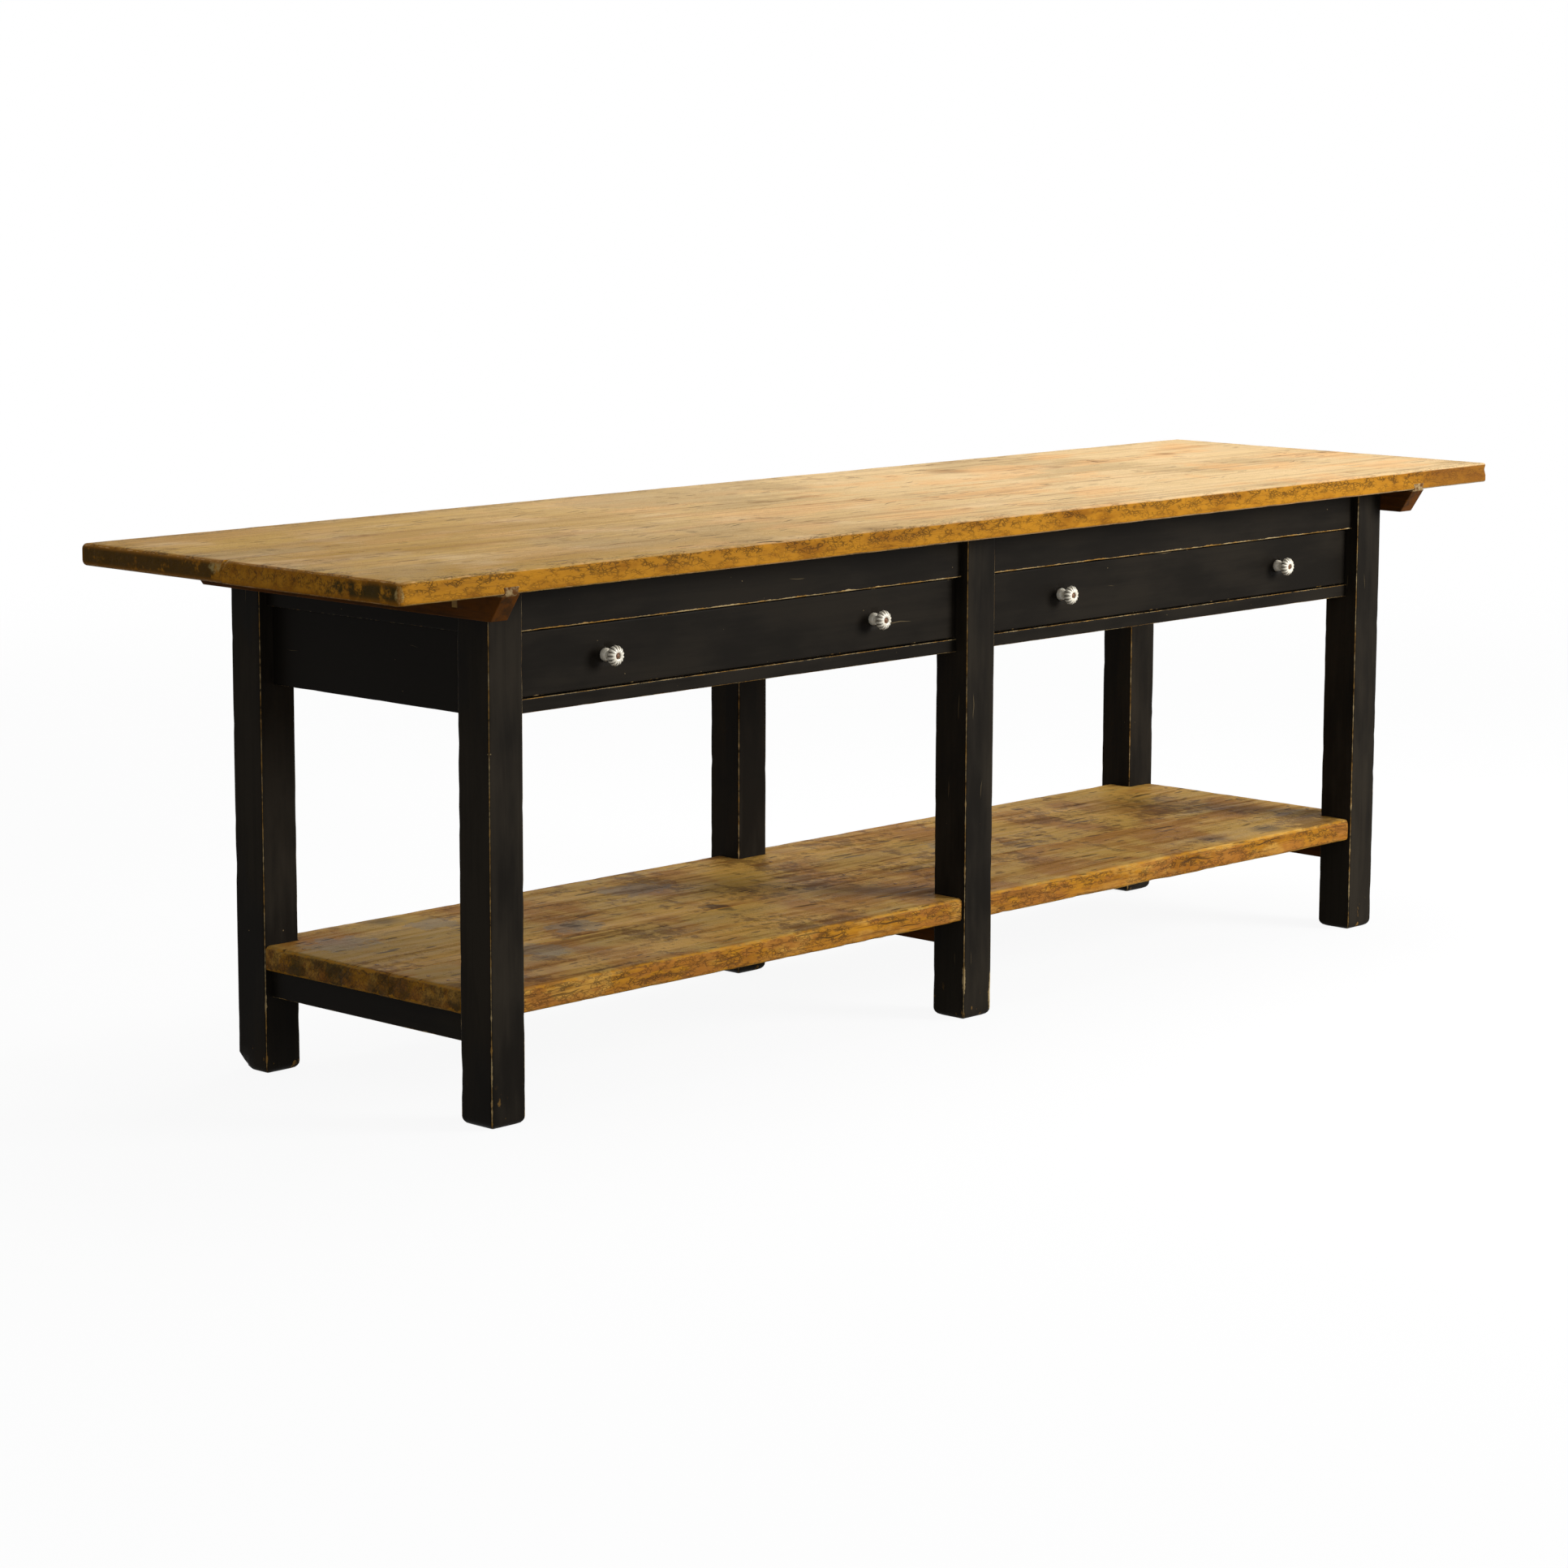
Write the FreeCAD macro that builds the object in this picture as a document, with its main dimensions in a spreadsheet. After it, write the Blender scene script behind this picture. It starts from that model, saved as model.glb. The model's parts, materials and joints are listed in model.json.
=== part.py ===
"""Long pine work table: a painted six-legged frame with two drawers, a notched shelf and a battened top.

Millimetres. +X runs along the table's length, +Y from its front to its back and +Z up. The origin lies on
the floor below the middle of the top.
"""
import FreeCAD
import Part
import math
import os
from types import SimpleNamespace

import Sketcher
from FreeCAD import Rotation, Vector

# Driving sizes: alias, value and what it measures
SIZES = (
    ("table_height", 860, "floor to the work surface"),
    ("top_length", 2706, "top, end to end"),
    ("top_width", 742, "top, front edge to back edge"),
    ("top_thickness", 36, "thickness of the top boards"),
    ("top_front_board", 400, "width of the top's front board"),
    ("top_board_step", 4, "how far the back board stops short at the left end"),
    ("top_front_corner_round", 6, "worn front left corner of the top, seen from above"),
    ("top_back_corner_round", 18, "worn back left corner of the top, seen from above"),
    ("top_edge_round", 4, "worn upper arrises of the top"),
    ("board_seam", 0.4, "open joint between two boards"),
    ("end_overhang", 236, "top past the end legs"),
    ("side_overhang", 71, "top past the front and back legs"),
    ("leg_side", 70, "side of a square leg"),
    ("leg_arris", 2, "bevelled long edges of a leg"),
    ("foot_round", 10, "rounded underside of a foot"),
    ("middle_leg_offset", -5, "middle legs from the middle of the frame"),
    ("apron_height", 198, "top of the legs to the underside of the aprons"),
    ("apron_thickness", 20, "end and back aprons"),
    ("apron_setback", 27, "end and back aprons behind the legs' outer faces"),
    ("upper_rail_height", 72, "rail above the drawers"),
    ("upper_rail_thickness", 26, "rail above the drawers, front to back"),
    ("upper_rail_setback", 15, "rail above the drawers, behind the legs' outer faces"),
    ("lower_rail_height", 22, "rail below the drawers"),
    ("lower_rail_setback", 24, "rail below the drawers, behind the legs' front faces"),
    ("cross_rail_thickness", 30, "rail from middle leg to middle leg"),
    ("tenon_length", 22, "tenon into a leg"),
    ("tenon_thickness", 10, "thickness of a tenon"),
    ("tenon_shoulder", 8, "shoulder above and below a tenon"),
    ("joint_ease", 0.15, "room round a tenon, dovetail, tongue or peg"),
    ("runner_width", 25, "ledge that a drawer side slides on"),
    ("runner_height", 20, "thickness of that ledge"),
    ("guide_height", 30, "strip beside a drawer side, above its ledge"),
    ("kicker_height", 24, "strip above a drawer side, which stops it tipping"),
    ("stop_width", 40, "drawer stop, along the rail"),
    ("stop_height", 6, "drawer stop, above the rail"),
    ("stop_inset", 120, "drawer stop from the end of its bay"),
    ("drawer_gap", 2.5, "gap round a drawer front"),
    ("drawer_setback", 25, "drawer front behind the legs' front faces"),
    ("drawer_front_thickness", 20, "drawer front"),
    ("drawer_back_room", 28, "back end of a drawer to the back apron"),
    ("drawer_side_thickness", 13, "drawer sides"),
    ("drawer_side_drop", 3, "drawer sides below the front's upper edge"),
    ("drawer_back_thickness", 12, "drawer back"),
    ("drawer_back_drop", 8, "drawer back below the sides' upper edge"),
    ("drawer_back_inset", 15, "drawer back from the back end of the sides"),
    ("drawer_bottom_thickness", 8, "drawer bottom"),
    ("drawer_bottom_rise", 10, "drawer bottom above the sides' lower edge"),
    ("groove_depth", 6, "grooves for a drawer's bottom and back"),
    ("slide_ease", 0.3, "running room under and behind a drawer"),
    ("dovetail_lap", 5, "drawer front left outside the dovetails"),
    ("dovetail_root", 17, "dovetail at its shoulder"),
    ("dovetail_tip", 23, "dovetail at its end"),
    ("knob_spacing", 608, "between the two knobs of a drawer"),
    ("knob_offset", -6, "knobs from the middle of their bay"),
    ("knob_diameter", 32.5, "lobed porcelain knob"),
    ("knob_swell", 10, "how far a knob's belly stands out past its face"),
    ("knob_belly", 20, "drawer front to the widest part of a knob"),
    ("knob_front_depth", 11, "knob, belly to face"),
    ("knob_back_depth", 8, "knob, belly to neck"),
    ("knob_neck", 13, "diameter of a knob's neck"),
    ("knob_recess", 10.5, "diameter of the recess for the bolt head"),
    ("knob_recess_depth", 3, "depth of that recess"),
    ("lobe_count", 14, "lobes round a knob"),
    ("crease_depth", 1.3, "creases between the lobes, at the belly"),
    ("rose_diameter", 21, "porcelain rose behind a knob"),
    ("rose_thickness", 9, "thickness of the rose"),
    ("rose_shoulder", 19, "diameter of the rose's shoulder"),
    ("rose_shoulder_height", 5.5, "drawer front to the rose's shoulder"),
    ("bolt_diameter", 4, "knob bolt"),
    ("bolt_head_diameter", 9.5, "head of the knob bolt"),
    ("bolt_head_height", 2.2, "head of the knob bolt, along the bolt"),
    ("bolt_head_flat", 5, "flat crown of that head"),
    ("bolt_ease", 0.3, "room round the knob bolt and its head"),
    ("bolt_tail", 3, "bolt past its nut"),
    ("nut_side", 9, "square nut"),
    ("nut_height", 4, "thickness of the nut"),
    ("batten_width", 35, "batten under the top"),
    ("batten_depth", 42, "batten below the top"),
    ("batten_front_slope", 28, "run of the sloping front end of a batten"),
    ("batten_back_slope", 46, "run of the sloping back end of a batten"),
    ("tongue_height", 12, "dovetail tongue of a batten, in the top"),
    ("tongue_root", 26, "tongue at the underside of the top"),
    ("tongue_crown", 33, "tongue at its upper face"),
    ("peg_side", 11, "square peg through a batten"),
    ("peg_depth", 18, "peg in the leg"),
    ("peg_drop", 21, "peg below the underside of the top"),
    ("shelf_height", 210, "floor to the shelf's upper face"),
    ("shelf_thickness", 40, "shelf boards"),
    ("shelf_front_board", 230, "width of the shelf's front board"),
    ("shelf_front_setback", 5, "shelf behind the legs' front faces"),
    ("shelf_back_setback", 17, "shelf before the legs' back faces"),
    ("shelf_end_setback", 1, "shelf inside the legs' outer faces"),
    ("shelf_edge_round", 4, "worn front and back arrises of the shelf"),
    ("notch_ease", 1, "room round a leg in the shelf"),
    ("bearer_height", 45, "bearer under the shelf"),
    ("bearer_thickness", 33, "bearer under the shelf"),
    ("bearer_setback", 14, "end bearers behind the legs' outer faces"),
    ("middle_bearer_setback", 3, "middle bearer behind the middle legs' left faces"),
    ("nail_side", 5, "side of a square shelf nail"),
    ("nail_length", 65, "shelf nail"),
    ("nail_inset", 60, "shelf nail from the edges of its board"),
)
SHEET = "Sizes"
DOVETAIL_COUNT = 3
KNOB_RINGS = 5
LOBE_FACETS = 4
KNOB_SWEEP = math.radians(80)
OVERCUT = 1
SAME_PLANE = 0.01


class Length:
    """A length: its value now, and the formula that ties it to the sheet."""

    def __init__(self, text, value):
        self.text = text
        self.value = value

    def __add__(self, other):
        other = as_length(other)
        return Length(f"({self.text} + {other.text})", self.value + other.value)

    def __sub__(self, other):
        other = as_length(other)
        return Length(f"({self.text} - {other.text})", self.value - other.value)

    def __mul__(self, other):
        other = as_length(other)
        return Length(f"({self.text} * {other.text})", self.value * other.value)

    def __truediv__(self, other):
        other = as_length(other)
        return Length(f"({self.text} / {other.text})", self.value / other.value)

    def __neg__(self):
        return Length(f"(-{self.text})", -self.value)


def as_length(item):
    return item if isinstance(item, Length) else Length(str(item), item)


def fill_sheet(sheet):
    """Writes the driving sizes to the sheet and returns them by alias."""
    for row, (alias, value, note) in enumerate(SIZES, 1):
        sheet.set(f"A{row}", note)
        sheet.set(f"B{row}", str(value))
        sheet.setAlias(f"B{row}", alias)
    sheet.recompute()
    return SimpleNamespace(**{alias: Length(f"{SHEET}.{alias}", sheet.get(alias)) for alias, _, _ in SIZES})


doc = FreeCAD.newDocument("work_table")
size = fill_sheet(doc.addObject("Spreadsheet::Sheet", SHEET))
parts = {}

# Planes that several pieces share
TOP_LEFT = -size.top_length / 2
TOP_RIGHT = size.top_length / 2
TOP_FRONT = -size.top_width / 2
TOP_BACK = size.top_width / 2
LEFT = TOP_LEFT + size.end_overhang
RIGHT = TOP_RIGHT - size.end_overhang
FRONT = TOP_FRONT + size.side_overhang
BACK = TOP_BACK - size.side_overhang
MIDDLE = size.middle_leg_offset
FRONT_LEG_BACK = FRONT + size.leg_side
BACK_LEG_FRONT = BACK - size.leg_side
LEG_TOP = size.table_height - size.top_thickness
APRON_BOTTOM = LEG_TOP - size.apron_height
LOWER_RAIL_TOP = APRON_BOTTOM + size.lower_rail_height
UPPER_RAIL_BOTTOM = LEG_TOP - size.upper_rail_height
SHELF_BOTTOM = size.shelf_height - size.shelf_thickness
BEARER_BOTTOM = SHELF_BOTTOM - size.bearer_height
BAYS = {
    "left": (LEFT + size.leg_side, MIDDLE - size.leg_side / 2),
    "right": (MIDDLE + size.leg_side / 2, RIGHT - size.leg_side),
}
LEG_X = {"left": LEFT + size.leg_side / 2, "middle": MIDDLE, "right": RIGHT - size.leg_side / 2}
LEG_Y = {"front": FRONT + size.leg_side / 2, "back": BACK - size.leg_side / 2}
DRAWER_FACE = FRONT + size.drawer_setback
DRAWER_SHOULDER = DRAWER_FACE + size.drawer_front_thickness
DRAWER_END = BACK - size.apron_setback - size.apron_thickness - size.drawer_back_room
DRAWER_FRONT_BOTTOM = LOWER_RAIL_TOP + size.drawer_gap
DRAWER_FRONT_TOP = UPPER_RAIL_BOTTOM - size.drawer_gap
DRAWER_SIDE_BOTTOM = LOWER_RAIL_TOP + size.slide_ease
DRAWER_SIDE_TOP = DRAWER_FRONT_TOP - size.drawer_side_drop
DRAWER_BOTTOM = DRAWER_SIDE_BOTTOM + size.drawer_bottom_rise
DRAWER_FLOOR = DRAWER_BOTTOM + size.drawer_bottom_thickness
BOLT_HOLE_RADIUS = size.bolt_diameter / 2 + size.bolt_ease


# Shapes that several pieces are made with
def bind(item, prop, length):
    """Ties a property to the sheet."""
    item.setExpression(prop, as_length(length).text)


def keep(item, label):
    """Hands in an object as the piece of that name."""
    item.Label = label
    parts[label] = item
    return item


def block(name, x, y, z, ease=0):
    """A box between two planes on each axis, grown by ease all round."""
    box = doc.addObject("Part::Box", name)
    for prop, axis, (low, high) in (("Length", "x", x), ("Width", "y", y), ("Height", "z", z)):
        bind(box, prop, high - low + as_length(ease) * 2)
        bind(box, f"Placement.Base.{axis}", low - ease)
    return box


def rod(name, axis, start, length, radius):
    """A cylinder from a start point along one axis."""
    cylinder = doc.addObject("Part::Cylinder", name)
    bind(cylinder, "Radius", radius)
    bind(cylinder, "Height", length)
    cylinder.Placement.Rotation = Rotation(Vector(0, 0, 1), axis)
    for name_of_axis, place in zip("xyz", start):
        bind(cylinder, f"Placement.Base.{name_of_axis}", place)
    return cylinder


def fuse(name, pieces):
    """One solid of pieces that meet, or one tool of cutters that lie apart."""
    joined = doc.addObject("Part::MultiFuse", name)
    joined.Shapes = pieces
    joined.Refine = True
    return joined


def cut(name, base, cutters):
    """A piece with all the cutters taken out of it."""
    shaped = doc.addObject("Part::Cut", name)
    shaped.Base = base
    shaped.Tool = cutters[0] if len(cutters) == 1 else fuse(f"{name}_cuts", cutters)
    shaped.Refine = True
    return shaped


def group(name, pieces):
    """Separate solids that are handed in as one node."""
    compound = doc.addObject("Part::Compound", name)
    compound.Links = pieces
    return keep(compound, name)


def new_body(name):
    return doc.addObject("PartDesign::Body", name)


def origin_item(body, role):
    return next(item for item in body.Origin.OriginFeatures if item.Role == role)


def new_sketch(body, role, name="outline"):
    """A sketch on one of the body's own origin planes."""
    sketch = body.newObject("Sketcher::SketchObject", f"{body.Name}_{name}")
    sketch.AttachmentSupport = [(origin_item(body, role), "")]
    sketch.MapMode = "FlatFace"
    return sketch


def draw(sketch, corners):
    """Joins the corners in turn, each tied to the sheet."""
    points = [Vector(x.value, y.value, 0) for x, y in corners]
    followers = list(range(1, len(corners))) + [0]
    for index, follower in enumerate(followers):
        sketch.addGeometry(Part.LineSegment(points[index], points[follower]))
    for index, follower in enumerate(followers):
        sketch.addConstraint(Sketcher.Constraint("Coincident", index, 2, follower, 1))
    for index, (x, y) in enumerate(corners):
        for kind, place in (("DistanceX", x), ("DistanceY", y)):
            tie = sketch.addConstraint(Sketcher.Constraint(kind, -1, 1, index, 1, place.value))
            bind(sketch, f"Constraints[{tie}]", place)


def pad(body, sketch, length):
    feature = body.newObject("PartDesign::Pad", f"{body.Name}_pad")
    feature.Profile = sketch
    bind(feature, "Length", length)
    return feature


def revolve(body, sketch):
    feature = body.newObject("PartDesign::Revolution", f"{body.Name}_turned")
    feature.Profile = sketch
    feature.ReferenceAxis = (sketch, ["V_Axis"])
    feature.Angle = 360
    return feature


def round_edges(body, base, radius, chosen):
    """Rounds the base feature's edges that the test chooses."""
    doc.recompute()
    edges = [f"Edge{number}" for number, edge in enumerate(base.Shape.Edges, 1) if chosen(edge)]
    feature = body.newObject("PartDesign::Fillet", f"{body.Name}_round")
    feature.Base = (base, edges)
    bind(feature, "Radius", radius)
    return feature


def is_upright(edge):
    return edge.BoundBox.ZLength > max(edge.BoundBox.XLength, edge.BoundBox.YLength)


def lies_at(edge, y):
    """Whether the whole edge lies in the plane at that distance along Y."""
    return max(abs(edge.BoundBox.YMin - y.value), abs(edge.BoundBox.YMax - y.value)) < SAME_PLANE


def rectangle(x, y):
    return [(x[0], y[0]), (x[1], y[0]), (x[1], y[1]), (x[0], y[1])]


def bevelled_square(half, bevel):
    flat = half - bevel
    corners = [(half, -flat), (half, flat), (flat, half), (-flat, half)]
    return corners + [(-half, flat), (-half, -flat), (-flat, -half), (flat, -half)]


def midway(span):
    return (span[0] + span[1]) / 2


def about(centre, width):
    """The span of a width about its middle."""
    return (centre - width / 2, centre + width / 2)


# Rails, aprons and bearers, each with a tenon at both ends
mortises = {}


def tenoned_board(label, along, x, y, z, tenon_a, tenon_b):
    """A board between two legs, tenoned along one axis; its tenons also shape the legs' mortises."""
    spans = {"x": x, "y": y, "z": z}
    low, high = spans[along]
    tenon = dict(zip([axis for axis in "xyz" if axis != along], (tenon_a, tenon_b)))
    tenon[along] = (low - size.tenon_length, high + size.tenon_length)
    board = block(f"{label}_board", x, y, z)
    tongue = block(f"{label}_tenons", tenon["x"], tenon["y"], tenon["z"])
    mortises[label] = block(f"{label}_mortises", tenon["x"], tenon["y"], tenon["z"], ease=size.joint_ease)
    return keep(fuse(label, [board, tongue]), label)


BETWEEN_LEGS = (FRONT_LEG_BACK, BACK_LEG_FRONT)
UPPER_RAIL_Z = (UPPER_RAIL_BOTTOM, LEG_TOP)
UPPER_TENON_Z = (UPPER_RAIL_BOTTOM + size.tenon_shoulder, LEG_TOP - size.tenon_shoulder)
APRON_TENON_BOTTOM = LOWER_RAIL_TOP + size.tenon_shoulder
END_APRON_TENON_Z = (APRON_TENON_BOTTOM, UPPER_RAIL_BOTTOM - size.tenon_shoulder)
DEEP_TENON_Z = (APRON_TENON_BOTTOM, LEG_TOP - size.tenon_shoulder)


def set_back(outer_face, inward, setback, thickness):
    """The span of a board set back from a leg's outer face; inward is 1 or -1."""
    faces = [outer_face + setback * inward, outer_face + (setback + thickness) * inward]
    return tuple(faces if inward > 0 else reversed(faces))


def make_front_rails(side):
    bay = BAYS[side]
    upper_y = set_back(FRONT, 1, size.upper_rail_setback, size.upper_rail_thickness)
    lower_y = (FRONT + size.lower_rail_setback, FRONT_LEG_BACK)
    lower_z = (APRON_BOTTOM, LOWER_RAIL_TOP)
    lower_tenon_y = (lower_y[0] + size.tenon_shoulder, lower_y[1] - size.tenon_shoulder)
    tenoned_board(f"front_upper_rail_{side}", "x", bay, upper_y, UPPER_RAIL_Z,
                  about(midway(upper_y), size.tenon_thickness), UPPER_TENON_Z)
    tenoned_board(f"front_lower_rail_{side}", "x", bay, lower_y, lower_z,
                  lower_tenon_y, about(midway(lower_z), size.tenon_thickness))


def make_back_apron(side):
    apron_y = set_back(BACK, -1, size.apron_setback, size.apron_thickness)
    tenoned_board(f"back_apron_{side}", "x", BAYS[side], apron_y, (APRON_BOTTOM, LEG_TOP),
                  about(midway(apron_y), size.tenon_thickness), DEEP_TENON_Z)


def make_end_boards(side, outer_face, inward):
    rail_x = set_back(outer_face, inward, size.upper_rail_setback, size.upper_rail_thickness)
    apron_x = set_back(outer_face, inward, size.apron_setback, size.apron_thickness)
    tenoned_board(f"end_upper_rail_{side}", "y", rail_x, BETWEEN_LEGS, UPPER_RAIL_Z,
                  about(midway(rail_x), size.tenon_thickness), UPPER_TENON_Z)
    tenoned_board(f"end_apron_{side}", "y", apron_x, BETWEEN_LEGS, (APRON_BOTTOM, UPPER_RAIL_BOTTOM),
                  about(midway(apron_x), size.tenon_thickness), END_APRON_TENON_Z)


def make_cross_rail():
    tenoned_board("middle_cross_rail", "y", about(MIDDLE, size.cross_rail_thickness), BETWEEN_LEGS,
                  (APRON_BOTTOM, LEG_TOP), about(MIDDLE, size.tenon_thickness), DEEP_TENON_Z)


# Bearers under the shelf, their nails, and the shelf
BEARERS = {
    "left": set_back(LEFT, 1, size.bearer_setback, size.bearer_thickness),
    "middle": set_back(MIDDLE - size.leg_side / 2, 1, size.middle_bearer_setback, size.bearer_thickness),
    "right": set_back(RIGHT, -1, size.bearer_setback, size.bearer_thickness),
}
SHELF_FRONT = FRONT + size.shelf_front_setback
SHELF_BACK = BACK - size.shelf_back_setback
SHELF_SEAM = SHELF_FRONT + size.shelf_front_board
SHELF_BOARDS = {
    "front": (SHELF_FRONT, SHELF_SEAM),
    "back": (SHELF_SEAM + size.board_seam, SHELF_BACK),
}


def nail_rows(board):
    """Where a board's two nails lie across its width, clear of the legs."""
    if board == "front":
        return (FRONT_LEG_BACK + size.nail_inset, SHELF_SEAM - size.nail_inset)
    return (SHELF_SEAM + size.nail_inset, BACK_LEG_FRONT - size.nail_inset)


def nail(name, x, y, ease=0):
    """A square cut nail, driven down until it is level with the shelf."""
    z = (size.shelf_height - size.nail_length, size.shelf_height)
    return block(name, about(x, size.nail_side), about(y, size.nail_side), z, ease)


def make_shelf():
    """Two boards notched round the legs, nailed to a tenoned bearer at each pair of legs."""
    nails = []
    holes = {item: [] for item in (*BEARERS, *SHELF_BOARDS)}
    for place, span in BEARERS.items():
        for board in SHELF_BOARDS:
            for row, y in enumerate(nail_rows(board), 1):
                name = f"shelf_nail_{place}_{board}_{row}"
                nails.append(nail(name, midway(span), y))
                hole = nail(f"{name}_hole", midway(span), y, ease=size.joint_ease)
                holes[place].append(hole)
                holes[board].append(hole)
    for place, span in BEARERS.items():
        label = f"shelf_bearer_{place}"
        bearer_z = (BEARER_BOTTOM, SHELF_BOTTOM)
        tenon_z = (BEARER_BOTTOM + size.tenon_shoulder, SHELF_BOTTOM - size.tenon_shoulder)
        whole = tenoned_board(label, "y", span, BETWEEN_LEGS, bearer_z,
                              about(midway(span), size.tenon_thickness), tenon_z)
        whole.Label = f"{label}_whole"
        keep(cut(f"{label}_nailed", whole, holes[place]), label)
    for board, span in SHELF_BOARDS.items():
        keep(cut(f"shelf_board_{board}", shelf_blank(board, span), holes[board]), f"shelf_board_{board}")
    group("shelf_nails", nails)


def shelf_blank(board, span):
    """A board notched round its three legs, with its long outer edge rounded."""
    body = new_body(f"shelf_blank_{board}")
    bind(body, "Placement.Base.z", SHELF_BOTTOM)
    ends = (LEFT + size.shelf_end_setback, RIGHT - size.shelf_end_setback)
    end_notch = size.leg_side + size.notch_ease
    clear = (LEFT + end_notch, RIGHT - end_notch)
    middle = about(MIDDLE, size.leg_side + size.notch_ease * 2)
    outer, seam, notch = {
        "front": (span[0], span[1], FRONT_LEG_BACK + size.notch_ease),
        "back": (span[1], span[0], BACK_LEG_FRONT - size.notch_ease),
    }[board]
    corners = [(ends[0], seam), (ends[0], notch), (clear[0], notch), (clear[0], outer)]
    corners += [(middle[0], outer), (middle[0], notch), (middle[1], notch), (middle[1], outer)]
    corners += [(clear[1], outer), (clear[1], notch), (ends[1], notch), (ends[1], seam)]
    sketch = new_sketch(body, "XY_Plane")
    draw(sketch, corners)
    blank = pad(body, sketch, size.shelf_thickness)

    def is_outer_arris(edge):
        return lies_at(edge, outer) and not is_upright(edge)

    round_edges(body, blank, size.shelf_edge_round, is_outer_arris)
    return body


# Top and its battens
BATTENS = {
    "left": (LEFT - size.batten_width, LEFT),
    "right": (RIGHT, RIGHT + size.batten_width),
}
TOP_SEAM = TOP_FRONT + size.top_front_board
peg_holes = {}


def tongue(name, span, ease=0):
    """The dovetail along a batten's upper face: narrow at the root, wide at the crown."""
    wedge = doc.addObject("Part::Wedge", name)
    wedge.Placement.Rotation = Rotation(Vector(1, 0, 0), 90)
    middle = midway(span)
    bounds = {
        "X": about(middle, size.tongue_root + as_length(ease) * 2),
        "X2": about(middle, size.tongue_crown + as_length(ease) * 2),
        "Y": (LEG_TOP, LEG_TOP + size.tongue_height + ease),
        "Z": (-TOP_BACK, -TOP_FRONT),
        "Z2": (-TOP_BACK, -TOP_FRONT),
    }
    for axis, (low, high) in bounds.items():
        bind(wedge, f"{axis}min", low)
        bind(wedge, f"{axis}max", high)
    return wedge


def make_batten(side):
    """A batten with sloping ends, slid into the top by its tongue and pegged to two legs."""
    span = BATTENS[side]
    label = f"top_batten_{side}"
    body = new_body(f"{label}_bar")
    bind(body, "Placement.Base.x", span[0])
    bottom = LEG_TOP - size.batten_depth
    sketch = new_sketch(body, "YZ_Plane")
    draw(sketch, [
        (TOP_FRONT + size.batten_front_slope, bottom),
        (TOP_BACK - size.batten_back_slope, bottom),
        (TOP_BACK, LEG_TOP),
        (TOP_FRONT, LEG_TOP),
    ])
    pad(body, sketch, size.batten_width)
    peg_x = {
        "left": (span[0], span[1] + size.peg_depth),
        "right": (span[0] - size.peg_depth, span[1]),
    }[side]
    peg_z = about(LEG_TOP - size.peg_drop, size.peg_side)
    pegs = []
    for row, y in LEG_Y.items():
        name = f"batten_peg_{row}_{side}"
        peg_y = about(y, size.peg_side)
        pegs.append(block(name, peg_x, peg_y, peg_z))
        peg_holes[row, side] = block(f"{name}_hole", peg_x, peg_y, peg_z, ease=size.joint_ease)
    whole = fuse(f"{label}_whole", [body, tongue(f"{label}_tongue", span)])
    holes = [peg_holes[row, side] for row in LEG_Y]
    keep(cut(label, whole, holes), label)
    return pegs


def make_top_board(board, x, y):
    """A wide board with a worn left corner, rounded upper arrises and a housing for each batten."""
    label = f"top_board_{board}"
    body = new_body(f"{label}_plank")
    bind(body, "Placement.Base.z", LEG_TOP)
    sketch = new_sketch(body, "XY_Plane")
    draw(sketch, rectangle(x, y))
    plank = pad(body, sketch, size.top_thickness)
    seam, corner_round = {
        "front": (y[1], size.top_front_corner_round),
        "back": (y[0], size.top_back_corner_round),
    }[board]

    def is_left_corner(edge):
        return is_upright(edge) and edge.BoundBox.XMax < 0 and not lies_at(edge, seam)

    def is_outer_arris(edge):
        return edge.BoundBox.ZMin > size.top_thickness.value - SAME_PLANE and not lies_at(edge, seam)

    cornered = round_edges(body, plank, corner_round, is_left_corner)
    round_edges(body, cornered, size.top_edge_round, is_outer_arris)
    housings = [
        tongue(f"{label}_housing_{side}", span, ease=size.joint_ease)
        for side, span in BATTENS.items()
    ]
    keep(cut(label, body, housings), label)


def make_top():
    make_top_board("front", (TOP_LEFT, TOP_RIGHT), (TOP_FRONT, TOP_SEAM))
    back_x = (TOP_LEFT + size.top_board_step, TOP_RIGHT)
    make_top_board("back", back_x, (TOP_SEAM + size.board_seam, TOP_BACK))
    group("batten_pegs", make_batten("left") + make_batten("right"))


# Legs
def boards_at(row, place):
    """The boards whose tenons enter a leg."""
    sides = ("left", "right") if place == "middle" else (place,)
    long_boards = ("front_upper_rail", "front_lower_rail") if row == "front" else ("back_apron",)
    labels = [f"{board}_{side}" for board in long_boards for side in sides]
    if place == "middle":
        labels.append("middle_cross_rail")
    else:
        labels += [f"end_upper_rail_{place}", f"end_apron_{place}"]
    return labels + [f"shelf_bearer_{place}"]


def upright(name, row, place, section):
    """A post of one section from the floor to the top, at a leg's place."""
    body = new_body(name)
    bind(body, "Placement.Base.x", LEG_X[place])
    bind(body, "Placement.Base.y", LEG_Y[row])
    sketch = new_sketch(body, "XY_Plane")
    draw(sketch, section)
    return body, pad(body, sketch, LEG_TOP)


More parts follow.
